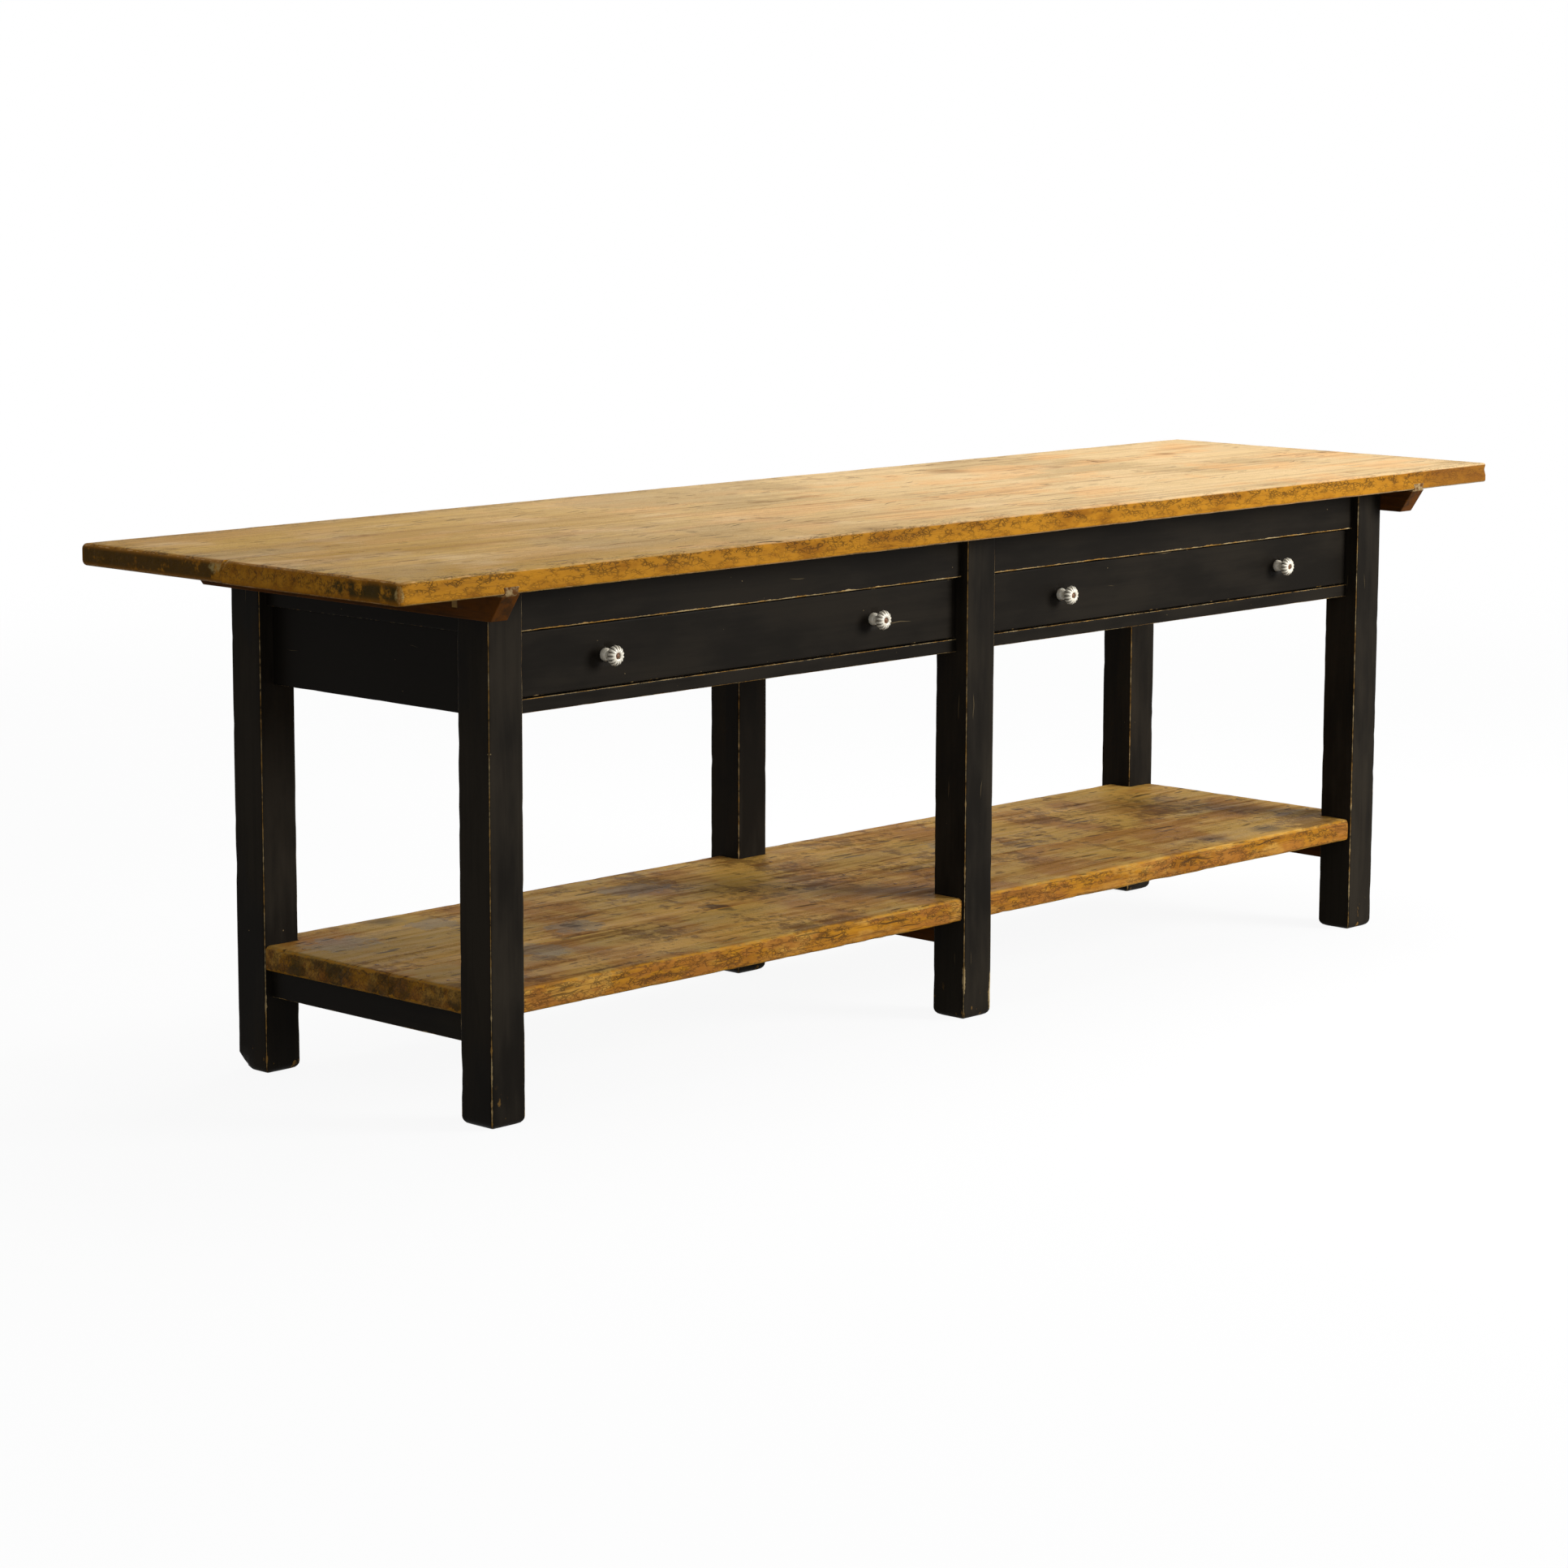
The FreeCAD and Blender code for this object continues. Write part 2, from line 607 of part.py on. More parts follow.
def make_leg(row, place):
    """A square post with a rounded foot and bevelled edges, mortised for its rails."""
    label = f"leg_{row}_{place}"
    half = size.leg_side / 2
    post, square = upright(f"{label}_post", row, place, rectangle((-half, half), (-half, half)))
    round_edges(post, square, size.foot_round, lambda edge: edge.BoundBox.ZMax < SAME_PLANE)
    bevelled = doc.addObject("Part::Common", f"{label}_bevelled")
    bevelled.Base = post
    bevelled.Tool, _ = upright(f"{label}_bevel", row, place, bevelled_square(half, size.leg_arris))
    bevelled.Refine = True
    holes = [mortises[board] for board in boards_at(row, place)]
    holes += [peg_holes[row, place]] if (row, place) in peg_holes else []
    keep(cut(label, bevelled, holes), label)


# What a drawer runs on
def make_drawer_ways(side):
    """Two L-shaped runners, two kickers and two stops for the drawer of a bay."""
    bay = BAYS[side]
    cross_faces = about(MIDDLE, size.cross_rail_thickness)
    end_inset = size.apron_setback + size.apron_thickness
    kicker_inset = size.upper_rail_setback + size.upper_rail_thickness
    backs = {
        "left": ((LEFT + end_inset, LEFT + kicker_inset), (cross_faces[0], cross_faces[0])),
        "right": ((cross_faces[1], cross_faces[1]), (RIGHT - end_inset, RIGHT - kicker_inset)),
    }[side]
    runner_z = (LOWER_RAIL_TOP - size.runner_height, LOWER_RAIL_TOP)
    guide_z = (runner_z[0], LOWER_RAIL_TOP + size.guide_height)
    kicker_z = (UPPER_RAIL_BOTTOM, UPPER_RAIL_BOTTOM + size.kicker_height)
    ledges = (bay[0] + size.runner_width, bay[1] - size.runner_width)
    for hand, face, ledge, (runner_back, kicker_back) in zip(("left", "right"), bay, ledges, backs):
        def span(back, edge):
            return (back, edge) if hand == "left" else (edge, back)

        label = f"{side}_drawer_{hand}_runner"
        ledge_bar = block(f"{label}_ledge", span(runner_back, ledge), BETWEEN_LEGS, runner_z)
        guide_bar = block(f"{label}_guide", span(runner_back, face), BETWEEN_LEGS, guide_z)
        keep(fuse(label, [ledge_bar, guide_bar]), label)
        label = f"{side}_drawer_{hand}_kicker"
        keep(block(label, span(kicker_back, ledge), BETWEEN_LEGS, kicker_z), label)
    stop_y = (DRAWER_SHOULDER + size.slide_ease, FRONT_LEG_BACK)
    stop_z = (LOWER_RAIL_TOP, LOWER_RAIL_TOP + size.stop_height)
    middles = (bay[0] + size.stop_inset, bay[1] - size.stop_inset)
    return [
        block(f"{side}_drawer_{hand}_stop", about(middle, size.stop_width), stop_y, stop_z)
        for hand, middle in zip(("left", "right"), middles)
    ]


# Drawers
def dovetail(name, x, middle_z, ease=0):
    """One tail of a drawer side, wide at its end inside the drawer front."""
    wedge = doc.addObject("Part::Wedge", name)
    tip = about(middle_z, size.dovetail_tip + as_length(ease) * 2)
    root = about(middle_z, size.dovetail_root + as_length(ease) * 2)
    y = (DRAWER_FACE + size.dovetail_lap - ease, DRAWER_SHOULDER)
    bounds = {"X": x, "X2": x, "Y": y, "Z": tip, "Z2": root}
    for axis, (low, high) in bounds.items():
        bind(wedge, f"{axis}min", low)
        bind(wedge, f"{axis}max", high)
    return wedge


def tail_middles():
    """Heights of the tails, spread evenly over the joint."""
    pitch = (DRAWER_SIDE_TOP - DRAWER_FRONT_BOTTOM) / DOVETAIL_COUNT
    return [DRAWER_FRONT_BOTTOM + pitch * (number + 0.5) for number in range(DOVETAIL_COUNT)]


def make_drawer_side(label, x, inner):
    """A side dovetailed in front, grooved for the bottom and housed for the back; inner is 1 or -1."""
    board = block(f"{label}_board", x, (DRAWER_SHOULDER, DRAWER_END), (DRAWER_SIDE_BOTTOM, DRAWER_SIDE_TOP))
    tails = [dovetail(f"{label}_tail_{n}", x, z) for n, z in enumerate(tail_middles(), 1)]
    inner_face = x[1] if inner > 0 else x[0]
    depth = set_back(inner_face, -inner, as_length(0), size.groove_depth)
    groove = block(f"{label}_groove", depth, (DRAWER_SHOULDER, DRAWER_END),
                   (DRAWER_BOTTOM - size.joint_ease, DRAWER_FLOOR + size.joint_ease))
    back_y = drawer_back_y()
    housing = block(f"{label}_housing", depth, (back_y[0] - size.joint_ease, back_y[1] + size.joint_ease),
                    (DRAWER_FLOOR, DRAWER_SIDE_TOP))
    keep(cut(label, fuse(f"{label}_blank", [board, *tails]), [groove, housing]), label)


def drawer_back_y():
    back_end = DRAWER_END - size.drawer_back_inset
    return (back_end - size.drawer_back_thickness, back_end)


def make_drawer(side):
    """A drawer: front and sides dovetailed, the back housed, the bottom in grooves, and its knobs."""
    name = f"{side}_drawer"
    bay = BAYS[side]
    outer = (bay[0] + size.drawer_gap, bay[1] - size.drawer_gap)
    inner = (outer[0] + size.drawer_side_thickness, outer[1] - size.drawer_side_thickness)
    make_drawer_side(f"{name}_left_side", (outer[0], inner[0]), 1)
    make_drawer_side(f"{name}_right_side", (inner[1], outer[1]), -1)

    knob_middle = midway(bay) + size.knob_offset
    knob_x = about(knob_middle, size.knob_spacing)
    knob_z = (DRAWER_FRONT_BOTTOM + DRAWER_FRONT_TOP) / 2
    board = block(f"{name}_front_board", outer, (DRAWER_FACE, DRAWER_SHOULDER),
                  (DRAWER_FRONT_BOTTOM, DRAWER_FRONT_TOP))
    sockets_x = {
        "left": (outer[0] - OVERCUT, inner[0] + size.joint_ease),
        "right": (inner[1] - size.joint_ease, outer[1] + OVERCUT),
    }
    sockets = [
        dovetail(f"{name}_{hand}_socket_{n}", x, z, ease=size.joint_ease)
        for hand, x in sockets_x.items()
        for n, z in enumerate(tail_middles(), 1)
    ]
    groove = block(f"{name}_front_groove", inner, (DRAWER_SHOULDER - size.groove_depth, DRAWER_SHOULDER),
                   (DRAWER_BOTTOM - size.joint_ease, DRAWER_FLOOR + size.joint_ease))
    bores = [
        rod(f"{name}_bore_{n}", Vector(0, 1, 0), (x, DRAWER_FACE, knob_z), size.drawer_front_thickness,
            BOLT_HOLE_RADIUS)
        for n, x in enumerate(knob_x, 1)
    ]
    keep(cut(f"{name}_front", board, [*sockets, groove, *bores]), f"{name}_front")

    grooved = (inner[0] - size.groove_depth + size.joint_ease, inner[1] + size.groove_depth - size.joint_ease)
    within = (inner[0] + size.joint_ease, inner[1] - size.joint_ease)
    back_y = drawer_back_y()
    bottom_z = (DRAWER_BOTTOM, DRAWER_FLOOR)
    panel = block(f"{name}_bottom_panel", grooved, (DRAWER_SHOULDER + size.joint_ease, back_y[1]), bottom_z)
    lip = block(f"{name}_bottom_lip", within,
                (DRAWER_SHOULDER - size.groove_depth + size.joint_ease, back_y[1]), bottom_z)
    keep(fuse(f"{name}_bottom", [panel, lip]), f"{name}_bottom")
    keep(block(f"{name}_back", grooved, back_y, (DRAWER_FLOOR, DRAWER_SIDE_TOP - size.drawer_back_drop)),
         f"{name}_back")

    makers = {"knobs": make_knob, "knob_roses": make_rose, "knob_bolts": make_bolt, "knob_nuts": make_nut}
    for kind, make in makers.items():
        label = f"{name}_{kind}"
        group(label, [make(f"{label}_{hand}", x, knob_z) for hand, x in zip(("left", "right"), knob_x)])


# Knobs: each turned about an axis that points out of the drawer front
KNOB_FACE = size.knob_belly + size.knob_front_depth * math.sin(KNOB_SWEEP)
RECESS_FLOOR = KNOB_FACE - size.knob_recess_depth
NECK_RADIUS = size.knob_neck / 2
NUT_BACK = -size.drawer_front_thickness - size.nut_height
OUT_OF_DRAWER = Rotation(Vector(1, 0, 0), 90)


def turned_body(name, x, z):
    """A body whose own Z axis points out of the drawer front at a knob's place."""
    body = new_body(name)
    set_on_drawer(body, x, z)
    return body


def set_on_drawer(item, x, z):
    item.Placement.Rotation = OUT_OF_DRAWER
    for axis, place in zip("xyz", (x, DRAWER_FACE, z)):
        bind(item, f"Placement.Base.{axis}", place)


def lobed_ring(radius, crease, height):
    """A closed ring of bulging lobes that meet in creases, each lobe a few facets."""
    facets = int(size.lobe_count.value) * LOBE_FACETS
    points = []
    for number in range(facets):
        bulge = abs(math.sin(math.pi * number / LOBE_FACETS))
        distance = radius - crease * (1 - bulge)
        turn = math.tau * number / facets
        points.append(Vector(distance * math.cos(turn), distance * math.sin(turn), height))
    return Part.makePolygon(points + points[:1])


def make_knob(name, x, z):
    """A melon knob: rings of lobes that swell from neck to belly and close in to a recessed face."""
    rings = [lobed_ring(NECK_RADIUS.value, 0, size.rose_thickness.value)]
    for number in range(KNOB_RINGS):
        angle = KNOB_SWEEP * (2 * number / (KNOB_RINGS - 1) - 1)
        depth = size.knob_front_depth if angle > 0 else size.knob_back_depth
        radius = size.knob_diameter.value / 2 - size.knob_swell.value * (1 - math.cos(angle))
        height = size.knob_belly.value + depth.value * math.sin(angle)
        rings.append(lobed_ring(radius, size.crease_depth.value * math.cos(angle), height))
    bore = Part.makeCylinder(BOLT_HOLE_RADIUS.value, KNOB_FACE.value)
    recess = Part.makeCylinder(size.knob_recess.value / 2, size.knob_recess_depth.value,
                               Vector(0, 0, RECESS_FLOOR.value))
    knob = doc.addObject("Part::Feature", name)
    knob.Shape = Part.makeLoft(rings, True, True).cut(bore.fuse(recess))
    set_on_drawer(knob, x, z)
    return knob


def make_rose(name, x, z):
    """The small domed disc between a knob and the drawer front."""
    body = turned_body(name, x, z)
    profile = new_sketch(body, "XZ_Plane")
    draw(profile, [
        (BOLT_HOLE_RADIUS, as_length(0)),
        (size.rose_diameter / 2, as_length(0)),
        (size.rose_shoulder / 2, size.rose_shoulder_height),
        (NECK_RADIUS, size.rose_thickness),
        (BOLT_HOLE_RADIUS, size.rose_thickness),
    ])
    revolve(body, profile)
    return body


def make_bolt(name, x, z):
    """A bolt with a bevelled round head, through the knob, the rose and the drawer front."""
    body = turned_body(name, x, z)
    profile = new_sketch(body, "XZ_Plane")
    shank_radius = size.bolt_diameter / 2
    head_radius = size.bolt_head_diameter / 2
    crown = RECESS_FLOOR + size.bolt_head_height
    tail = NUT_BACK - size.bolt_tail
    draw(profile, [
        (as_length(0), tail),
        (shank_radius, tail),
        (shank_radius, RECESS_FLOOR),
        (head_radius, RECESS_FLOOR),
        (size.bolt_head_flat / 2, crown),
        (as_length(0), crown),
    ])
    revolve(body, profile)
    return body


def make_nut(name, x, z):
    """A square nut drawn up against the inside of the drawer front."""
    body = turned_body(name, x, z)
    sketch = new_sketch(body, "XY_Plane")
    bind(sketch, "AttachmentOffset.Base.z", NUT_BACK)
    half = (-size.nut_side / 2, size.nut_side / 2)
    draw(sketch, rectangle(half, half))
    hole_radius = size.bolt_diameter / 2 + size.joint_ease
    sketch.addGeometry(Part.Circle(Vector(0, 0, 0), Vector(0, 0, 1), hole_radius.value))
    hole = sketch.GeometryCount - 1
    sketch.addConstraint(Sketcher.Constraint("Coincident", hole, 3, -1, 1))
    tie = sketch.addConstraint(Sketcher.Constraint("Radius", hole, hole_radius.value))
    bind(sketch, f"Constraints[{tie}]", hole_radius)
    pad(body, sketch, size.nut_height)
    return body


def check(document):
    """Stops if an object failed or a piece has no valid solid."""
    failed = [item.Label for item in document.Objects if {"Invalid", "Error"} & set(item.State)]
    empty = [label for label, item in parts.items() if item.Shape.isNull() or not item.Shape.isValid()]
    hollow = [label for label, item in parts.items() if not item.Shape.Solids]
    if failed or empty or hollow:
        raise RuntimeError(f"failed: {failed}; not valid: {empty}; without a solid: {hollow}")


def main():
    for side in BAYS:
        make_front_rails(side)
        make_back_apron(side)
    make_end_boards("left", LEFT, 1)
    make_end_boards("right", RIGHT, -1)
    make_cross_rail()
    make_shelf()
    make_top()
    for row in LEG_Y:
        for place in LEG_X:
            make_leg(row, place)
    group("drawer_stops", make_drawer_ways("left") + make_drawer_ways("right"))
    for side in BAYS:
        make_drawer(side)
    doc.recompute()
    check(doc)
    os.makedirs("parts", exist_ok=True)
    for label, item in parts.items():
        item.Shape.exportStep(os.path.join("parts", f"{label}.step"))


main()
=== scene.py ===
"""Looks of a long pine work table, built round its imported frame.

Metres. +X runs along the table's length, +Y from its front to its back and +Z up.
"""
import json
import math

import bmesh
import bpy
from mathutils import Matrix, Vector, kdtree, noise


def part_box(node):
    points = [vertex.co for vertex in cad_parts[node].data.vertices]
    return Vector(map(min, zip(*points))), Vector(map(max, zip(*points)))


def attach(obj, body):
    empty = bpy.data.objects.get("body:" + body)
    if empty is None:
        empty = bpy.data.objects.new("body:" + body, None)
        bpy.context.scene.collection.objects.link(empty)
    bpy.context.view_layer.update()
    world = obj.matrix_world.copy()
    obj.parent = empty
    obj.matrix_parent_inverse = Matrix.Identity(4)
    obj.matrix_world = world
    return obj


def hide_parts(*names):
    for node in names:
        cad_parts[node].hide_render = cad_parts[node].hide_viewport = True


bl_info = {
    "name": "Pine Work Table",
    "version": (1, 0, 0),
    "blender": (4, 5, 0),
    "location": "3D View > Sidebar > Work Table",
    "description": "Dresses a long work table in worn pine, black paint and porcelain knobs",
    "category": "Object",
}

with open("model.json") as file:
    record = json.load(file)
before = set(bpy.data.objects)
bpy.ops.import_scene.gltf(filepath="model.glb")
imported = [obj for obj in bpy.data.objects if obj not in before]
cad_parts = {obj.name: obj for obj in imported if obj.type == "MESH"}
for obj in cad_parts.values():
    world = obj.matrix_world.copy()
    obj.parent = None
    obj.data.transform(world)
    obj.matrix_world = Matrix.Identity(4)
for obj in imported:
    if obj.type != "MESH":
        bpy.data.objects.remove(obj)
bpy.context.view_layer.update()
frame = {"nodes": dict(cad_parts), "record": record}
NODE_BODY = {node: body for body, nodes in frame["record"]["behaviour"]["bodies"].items() for node in nodes}
NODE_SLOT = {part["node"]: part["material_slot"] for part in frame["record"]["subparts"]}
SIDES = ("left", "right")
ROWS = ("front", "back")
PLACES = ("left", "middle", "right")
SHARP_ANGLE = math.radians(38)
# How far the end of a rail is seated in a leg
SEAT = 0.004
# How deep wear can go into a board, and how far from its edges the ragged wear reaches
WEAR_DEPTH = 0.012
RAGGED_REACH = 0.006
# Farther than any edge, near enough to lie on a face, and near enough to be one point
FAR = 10.0
ON_FACE = 1e-5
ONE_POINT = 1e-6
# Where the lamps point, and each lamp's place and width
LIT_PLACE = Vector((0.1, 0, 0.5))
LAMPS = {
    "key": ((3.0, -4.4, 2.1), 2.4),
    "top": ((1.1, 0.3, 3.4), 2.6),
    "side": ((-4.2, -3.4, 1.2), 2.0),
}


# Settings that a user would change
def length(name, description, default):
    return bpy.props.FloatProperty(
        name=name, description=description, default=default, unit="LENGTH", precision=4)


def power(name, description, default):
    return bpy.props.FloatProperty(name=name, description=description, default=default, unit="POWER")


def share(name, description, default):
    return bpy.props.FloatProperty(
        name=name, description=description, default=default, min=0, max=1, subtype="FACTOR")


def count(name, description, default):
    return bpy.props.IntProperty(name=name, description=description, default=default, min=1)


def colour(name, description, default):
    return bpy.props.FloatVectorProperty(
        name=name, description=description, default=(*default, 1), size=4, min=0, max=1, subtype="COLOR")


class WorkTableShape(bpy.types.PropertyGroup):
    """Sizes of the worn boards and posts."""
    board_step: length("Board step", "Distance between points along a board", 0.014)
    joint_step: length("Joint step", "Distance between points along a piece with cut joints", 0.02)
    batten_round: length("Batten round", "Rounded edges of the battens", 0.0015)
    rail_round: length("Rail round", "Rounded edges of the painted rails and drawer fronts", 0.0018)
    leg_round: length("Leg round", "Rounded long edges of a leg", 0.003)
    foot_round: length("Foot round", "Rounded underside of a foot", 0.013)
    top_round: length("Top round", "Worn upper edge of the top", 0.006)
    top_front_corner: length("Top front corner", "Worn front left corner of the top", 0.012)
    top_back_corner: length("Top back corner", "Worn back left corner of the top", 0.005)
    top_back_round: length("Top back round", "Worn edges of the top's back board", 0.009)
    shelf_round: length("Shelf round", "Worn edges of the shelf", 0.008)
    notch_ease: length("Notch ease", "Room round a leg in the shelf", 0.001)
    face_wear: length("Face wear", "Hollows worn in a board's faces", 0.0006)
    edge_wear: length("Edge wear", "Depth of the wear along a board's edges", 0.003)


class WorkTableFinish(bpy.types.PropertyGroup):
    """Colours of the woods, the paint, the porcelain and the iron."""
    top_honey: colour("Top honey", "Waxed pine of the top", (0.375, 0.212, 0.042))
    top_tan: colour("Top tan", "Scrubbed pine of the top", (0.475, 0.292, 0.076))
    # Top pale is also laid over the right end of the top, partly as painted light.
    top_pale: colour("Top pale", "Palest, most worn pine of the top", (0.66, 0.485, 0.275))
    top_salmon: colour("Top salmon", "Pinkish streaks in the top", (0.64, 0.365, 0.155))
    top_grey: colour("Top grey", "Greyed patches of the top", (0.38, 0.265, 0.125))
    top_deep: colour("Top deep", "Late wood and old wax in the top", (0.24, 0.125, 0.045))
    edge_ochre: colour("Edge ochre", "Old varnish on the board edges", (0.54, 0.236, 0.017))
    edge_amber: colour("Edge amber", "Thicker varnish on the board edges", (0.33, 0.124, 0.009))
    edge_red: colour("Edge red", "Redder varnish on the right end of the front edge", (0.19, 0.072, 0.014))
    chip: colour("Chip", "Pale wood where an end has chipped", (0.52, 0.40, 0.165))
    crack: colour("Crack", "Dirt in cracks and gouges", (0.030, 0.017, 0.008))
    grime: colour("Grime", "Dark handling marks on the board ends", (0.034, 0.025, 0.007))
    shelf_tan: colour("Shelf tan", "Worn pine of the shelf", (0.70, 0.400, 0.088))
    shelf_olive: colour("Shelf olive", "Yellower varnish left on the shelf", (0.50, 0.312, 0.072))
    shelf_brown: colour("Shelf brown", "Old finish left in the shelf's grain", (0.128, 0.052, 0.014))
    shelf_grey: colour("Shelf grey", "Weathered patches of the shelf", (0.26, 0.225, 0.165))
    shelf_red: colour("Shelf red", "Reddish stain left on the shelf", (0.37, 0.140, 0.024))
    paint: colour("Paint", "Black paint of the frame", (0.0105, 0.0086, 0.0064))
    # Scuffed paint is laid thicker on the lit copy of the paint, partly as painted light.
    paint_scuffed: colour("Scuffed paint", "Rubbed patches of the paint", (0.0280, 0.0226, 0.0162))
    bared: colour("Bared wood", "Ochre wood where the paint has worn off", (0.42, 0.225, 0.055))
    bared_pale: colour("Pale bared wood", "Paler wood where the paint has worn off", (0.56, 0.41, 0.20))
    stain: colour("Stain", "Reddish-brown stain of battens and bearers", (0.120, 0.040, 0.007))
    bare_pine: colour("Bare pine", "Unfinished pine inside", (0.46, 0.30, 0.15))
    porcelain: colour("Porcelain", "Glaze of the knobs", (0.90, 0.85, 0.71))
    # The porcelain stain darkens the creases partly as painted shade, and fills the crazing as dirt.
    porcelain_stain_and_crease_shade: colour("Porcelain stain", "Dirt in the knobs' creases", (0.15, 0.128, 0.095))
    rust: colour("Rust", "Rust on bolts and nails", (0.22, 0.085, 0.025))
    iron: colour("Iron", "Bare dark iron", (0.055, 0.045, 0.040))


class WorkTableKnobs(bpy.types.PropertyGroup):
    """Sizes of the porcelain knobs."""
    lobes: count("Lobes", "Lobes round a knob", 14)
    crease: length("Crease", "Depth of the creases between the lobes", 0.0030)
    neck: share("Neck", "How much of a knob's depth is its narrow neck", 0.38)
    belly: share("Belly", "Where the widest part lies between the neck's foot and the face", 0.64)
    taper: share("Taper", "How full the lobes are between the belly and the face", 0.80)
    recess: length("Recess", "Radius of the recess for the bolt head", 0.0053)
    recess_depth: length("Recess depth", "Depth of that recess", 0.003)
    bore: length("Bore", "Radius of the hole for the bolt", 0.0023)
    bolt_head: length("Bolt head", "Radius of the bolt's head", 0.0047)
    bolt_shank: length("Bolt shank", "Radius of the bolt", 0.002)
    bolt_dome: length("Bolt dome", "Height of the bolt's domed head", 0.0024)


class WorkTableStage(bpy.types.PropertyGroup):
    """Camera, lamps and floor."""
    camera_place: bpy.props.FloatVectorProperty(
        name="Camera place", description="Where the camera stands", default=(-5.40873, -4.99942, 1.58802),
        subtype="XYZ_LENGTH")
    camera_turn: bpy.props.FloatVectorProperty(
        name="Camera turn", description="Pitch, roll and yaw of the camera",
        default=(math.radians(-9.42619), math.radians(0.17253), math.radians(-46.36008)), subtype="EULER")
    lens: bpy.props.FloatProperty(name="Lens", description="Focal length in millimetres", default=99.18)
    key_power: power("Key", "Power of the large lamp", 300)
    top_power: power("Overhead", "Power of the lamp above", 78)
    side_power: power("Side", "Power of the weak lamp on the left", 18)
    fill: share("Fill", "Light from all round", 0.34)
    floor_radius: length("Floor radius", "Where the floor fades out", 7.0)
    floor_glow: share("Floor glow", "How much of the floor's white does not depend on the lamps", 0.92)
    floor_bounce: share("Floor bounce", "How much light the floor throws back on the table", 0.06)


SETTINGS = {
    "work_table_shape": WorkTableShape,
    "work_table_finish": WorkTableFinish,
    "work_table_knobs": WorkTableKnobs,
    "work_table_stage": WorkTableStage,
}


# Node trees
class Sheet:
    """A node tree being filled in: each method adds a node and gives back its output."""

    def __init__(self, tree):
        self.tree = tree

    def add(self, kind, inputs, **settings):
        node = self.tree.nodes.new(kind)
        for name, value in settings.items():
            setattr(node, name, value)
        for socket, value in inputs.items():
            self.feed(node.inputs[socket], value)
        return node

    def feed(self, socket, value):
        if isinstance(value, bpy.types.NodeSocket):
            self.tree.links.new(value, socket)
        else:
            socket.default_value = value

    def math(self, operation, first, second=0.0):
        return self.add("ShaderNodeMath", {0: first, 1: second}, operation=operation).outputs[0]

    def fold(self, operation, values):
        result = values[0]
        for value in values[1:]:
            result = self.math(operation, result, value)
        return result

    def product(self, *values):
        return self.fold("MULTIPLY", values)

    def total(self, *values):
        return self.fold("ADD", values)

    def minus(self, *values):
        """The first value less all the others."""
        return self.fold("SUBTRACT", values)

    def largest(self, *values):
        return self.fold("MAXIMUM", values)

    def step(self, value, low, high, start=0.0, end=1.0):
        """A smooth rise from start to end while the value goes from low to high."""
        inputs = {"Value": value, "From Min": low, "From Max": high, "To Min": start, "To Max": end}
        return self.add("ShaderNodeMapRange", inputs, interpolation_type="SMOOTHSTEP").outputs["Result"]

    def lay(self, under, over, *masks):
        """One colour over another, as far as all the masks let it."""
        inputs = {0: self.product(*masks), 6: under, 7: over}
        return self.add("ShaderNodeMix", inputs, data_type="RGBA").outputs[2]

    def scaled(self, vector, factors):
        return self.add("ShaderNodeVectorMath", {0: vector, 1: factors}, operation="MULTIPLY").outputs[0]

    def shifted(self, vector, offset):
        return self.add("ShaderNodeVectorMath", {0: vector, 1: offset}, operation="ADD").outputs[0]

    def size(self, vector):
        return self.add("ShaderNodeVectorMath", {0: vector}, operation="LENGTH").outputs["Value"]

    def own_place(self):
        return self.add("ShaderNodeTexCoord", {}).outputs["Object"]

    def axis(self, vector, name):
        return self.add("ShaderNodeSeparateXYZ", {"Vector": vector}).outputs[name]

    def cloud(self, vector, scale, detail=3.0, roughness=0.55):
        inputs = {"Vector": vector, "Scale": scale, "Detail": detail, "Roughness": roughness}
        return self.add("ShaderNodeTexNoise", inputs).outputs[0]

    def cells(self, vector, scale, feature="F1"):
        return self.add("ShaderNodeTexVoronoi", {"Vector": vector, "Scale": scale}, feature=feature).outputs

    def flat(self, x, y):
        return self.add("ShaderNodeCombineXYZ", {"X": x, "Y": y}).outputs[0]

    def flat_cells(self, vector):
        inputs = {"Vector": vector, "Scale": 1.0}
        return self.add("ShaderNodeTexVoronoi", inputs, voronoi_dimensions="2D").outputs

    def group(self, tree, **inputs):
        node = self.tree.nodes.new("ShaderNodeGroup")
        node.node_tree = tree
        for name, value in inputs.items():
            self.feed(node.inputs[name.replace("_", " ")], value)
        return node.outputs

    def attribute(self, name):
        return self.add("ShaderNodeAttribute", {}, attribute_name=name)

    def bump(self, height, strength, distance):
        inputs = {"Height": height, "Strength": strength, "Distance": distance}
        return self.add("ShaderNodeBump", inputs).outputs["Normal"]


def new_group(name, inputs, outputs):
    """A shader group with float sockets, but for the vector inputs named Position."""
    tree = bpy.data.node_groups.new(name, "ShaderNodeTree")
    for socket in inputs:
        kind = "NodeSocketVector" if socket == "Position" else "NodeSocketFloat"
        tree.interface.new_socket(name=socket, in_out="INPUT", socket_type=kind)
    for socket in outputs:
        tree.interface.new_socket(name=socket, in_out="OUTPUT", socket_type="NodeSocketFloat")
    sheet = Sheet(tree)
    given = tree.nodes.new("NodeGroupInput").outputs
    result = tree.nodes.new("NodeGroupOutput").inputs
    return tree, sheet, given, result


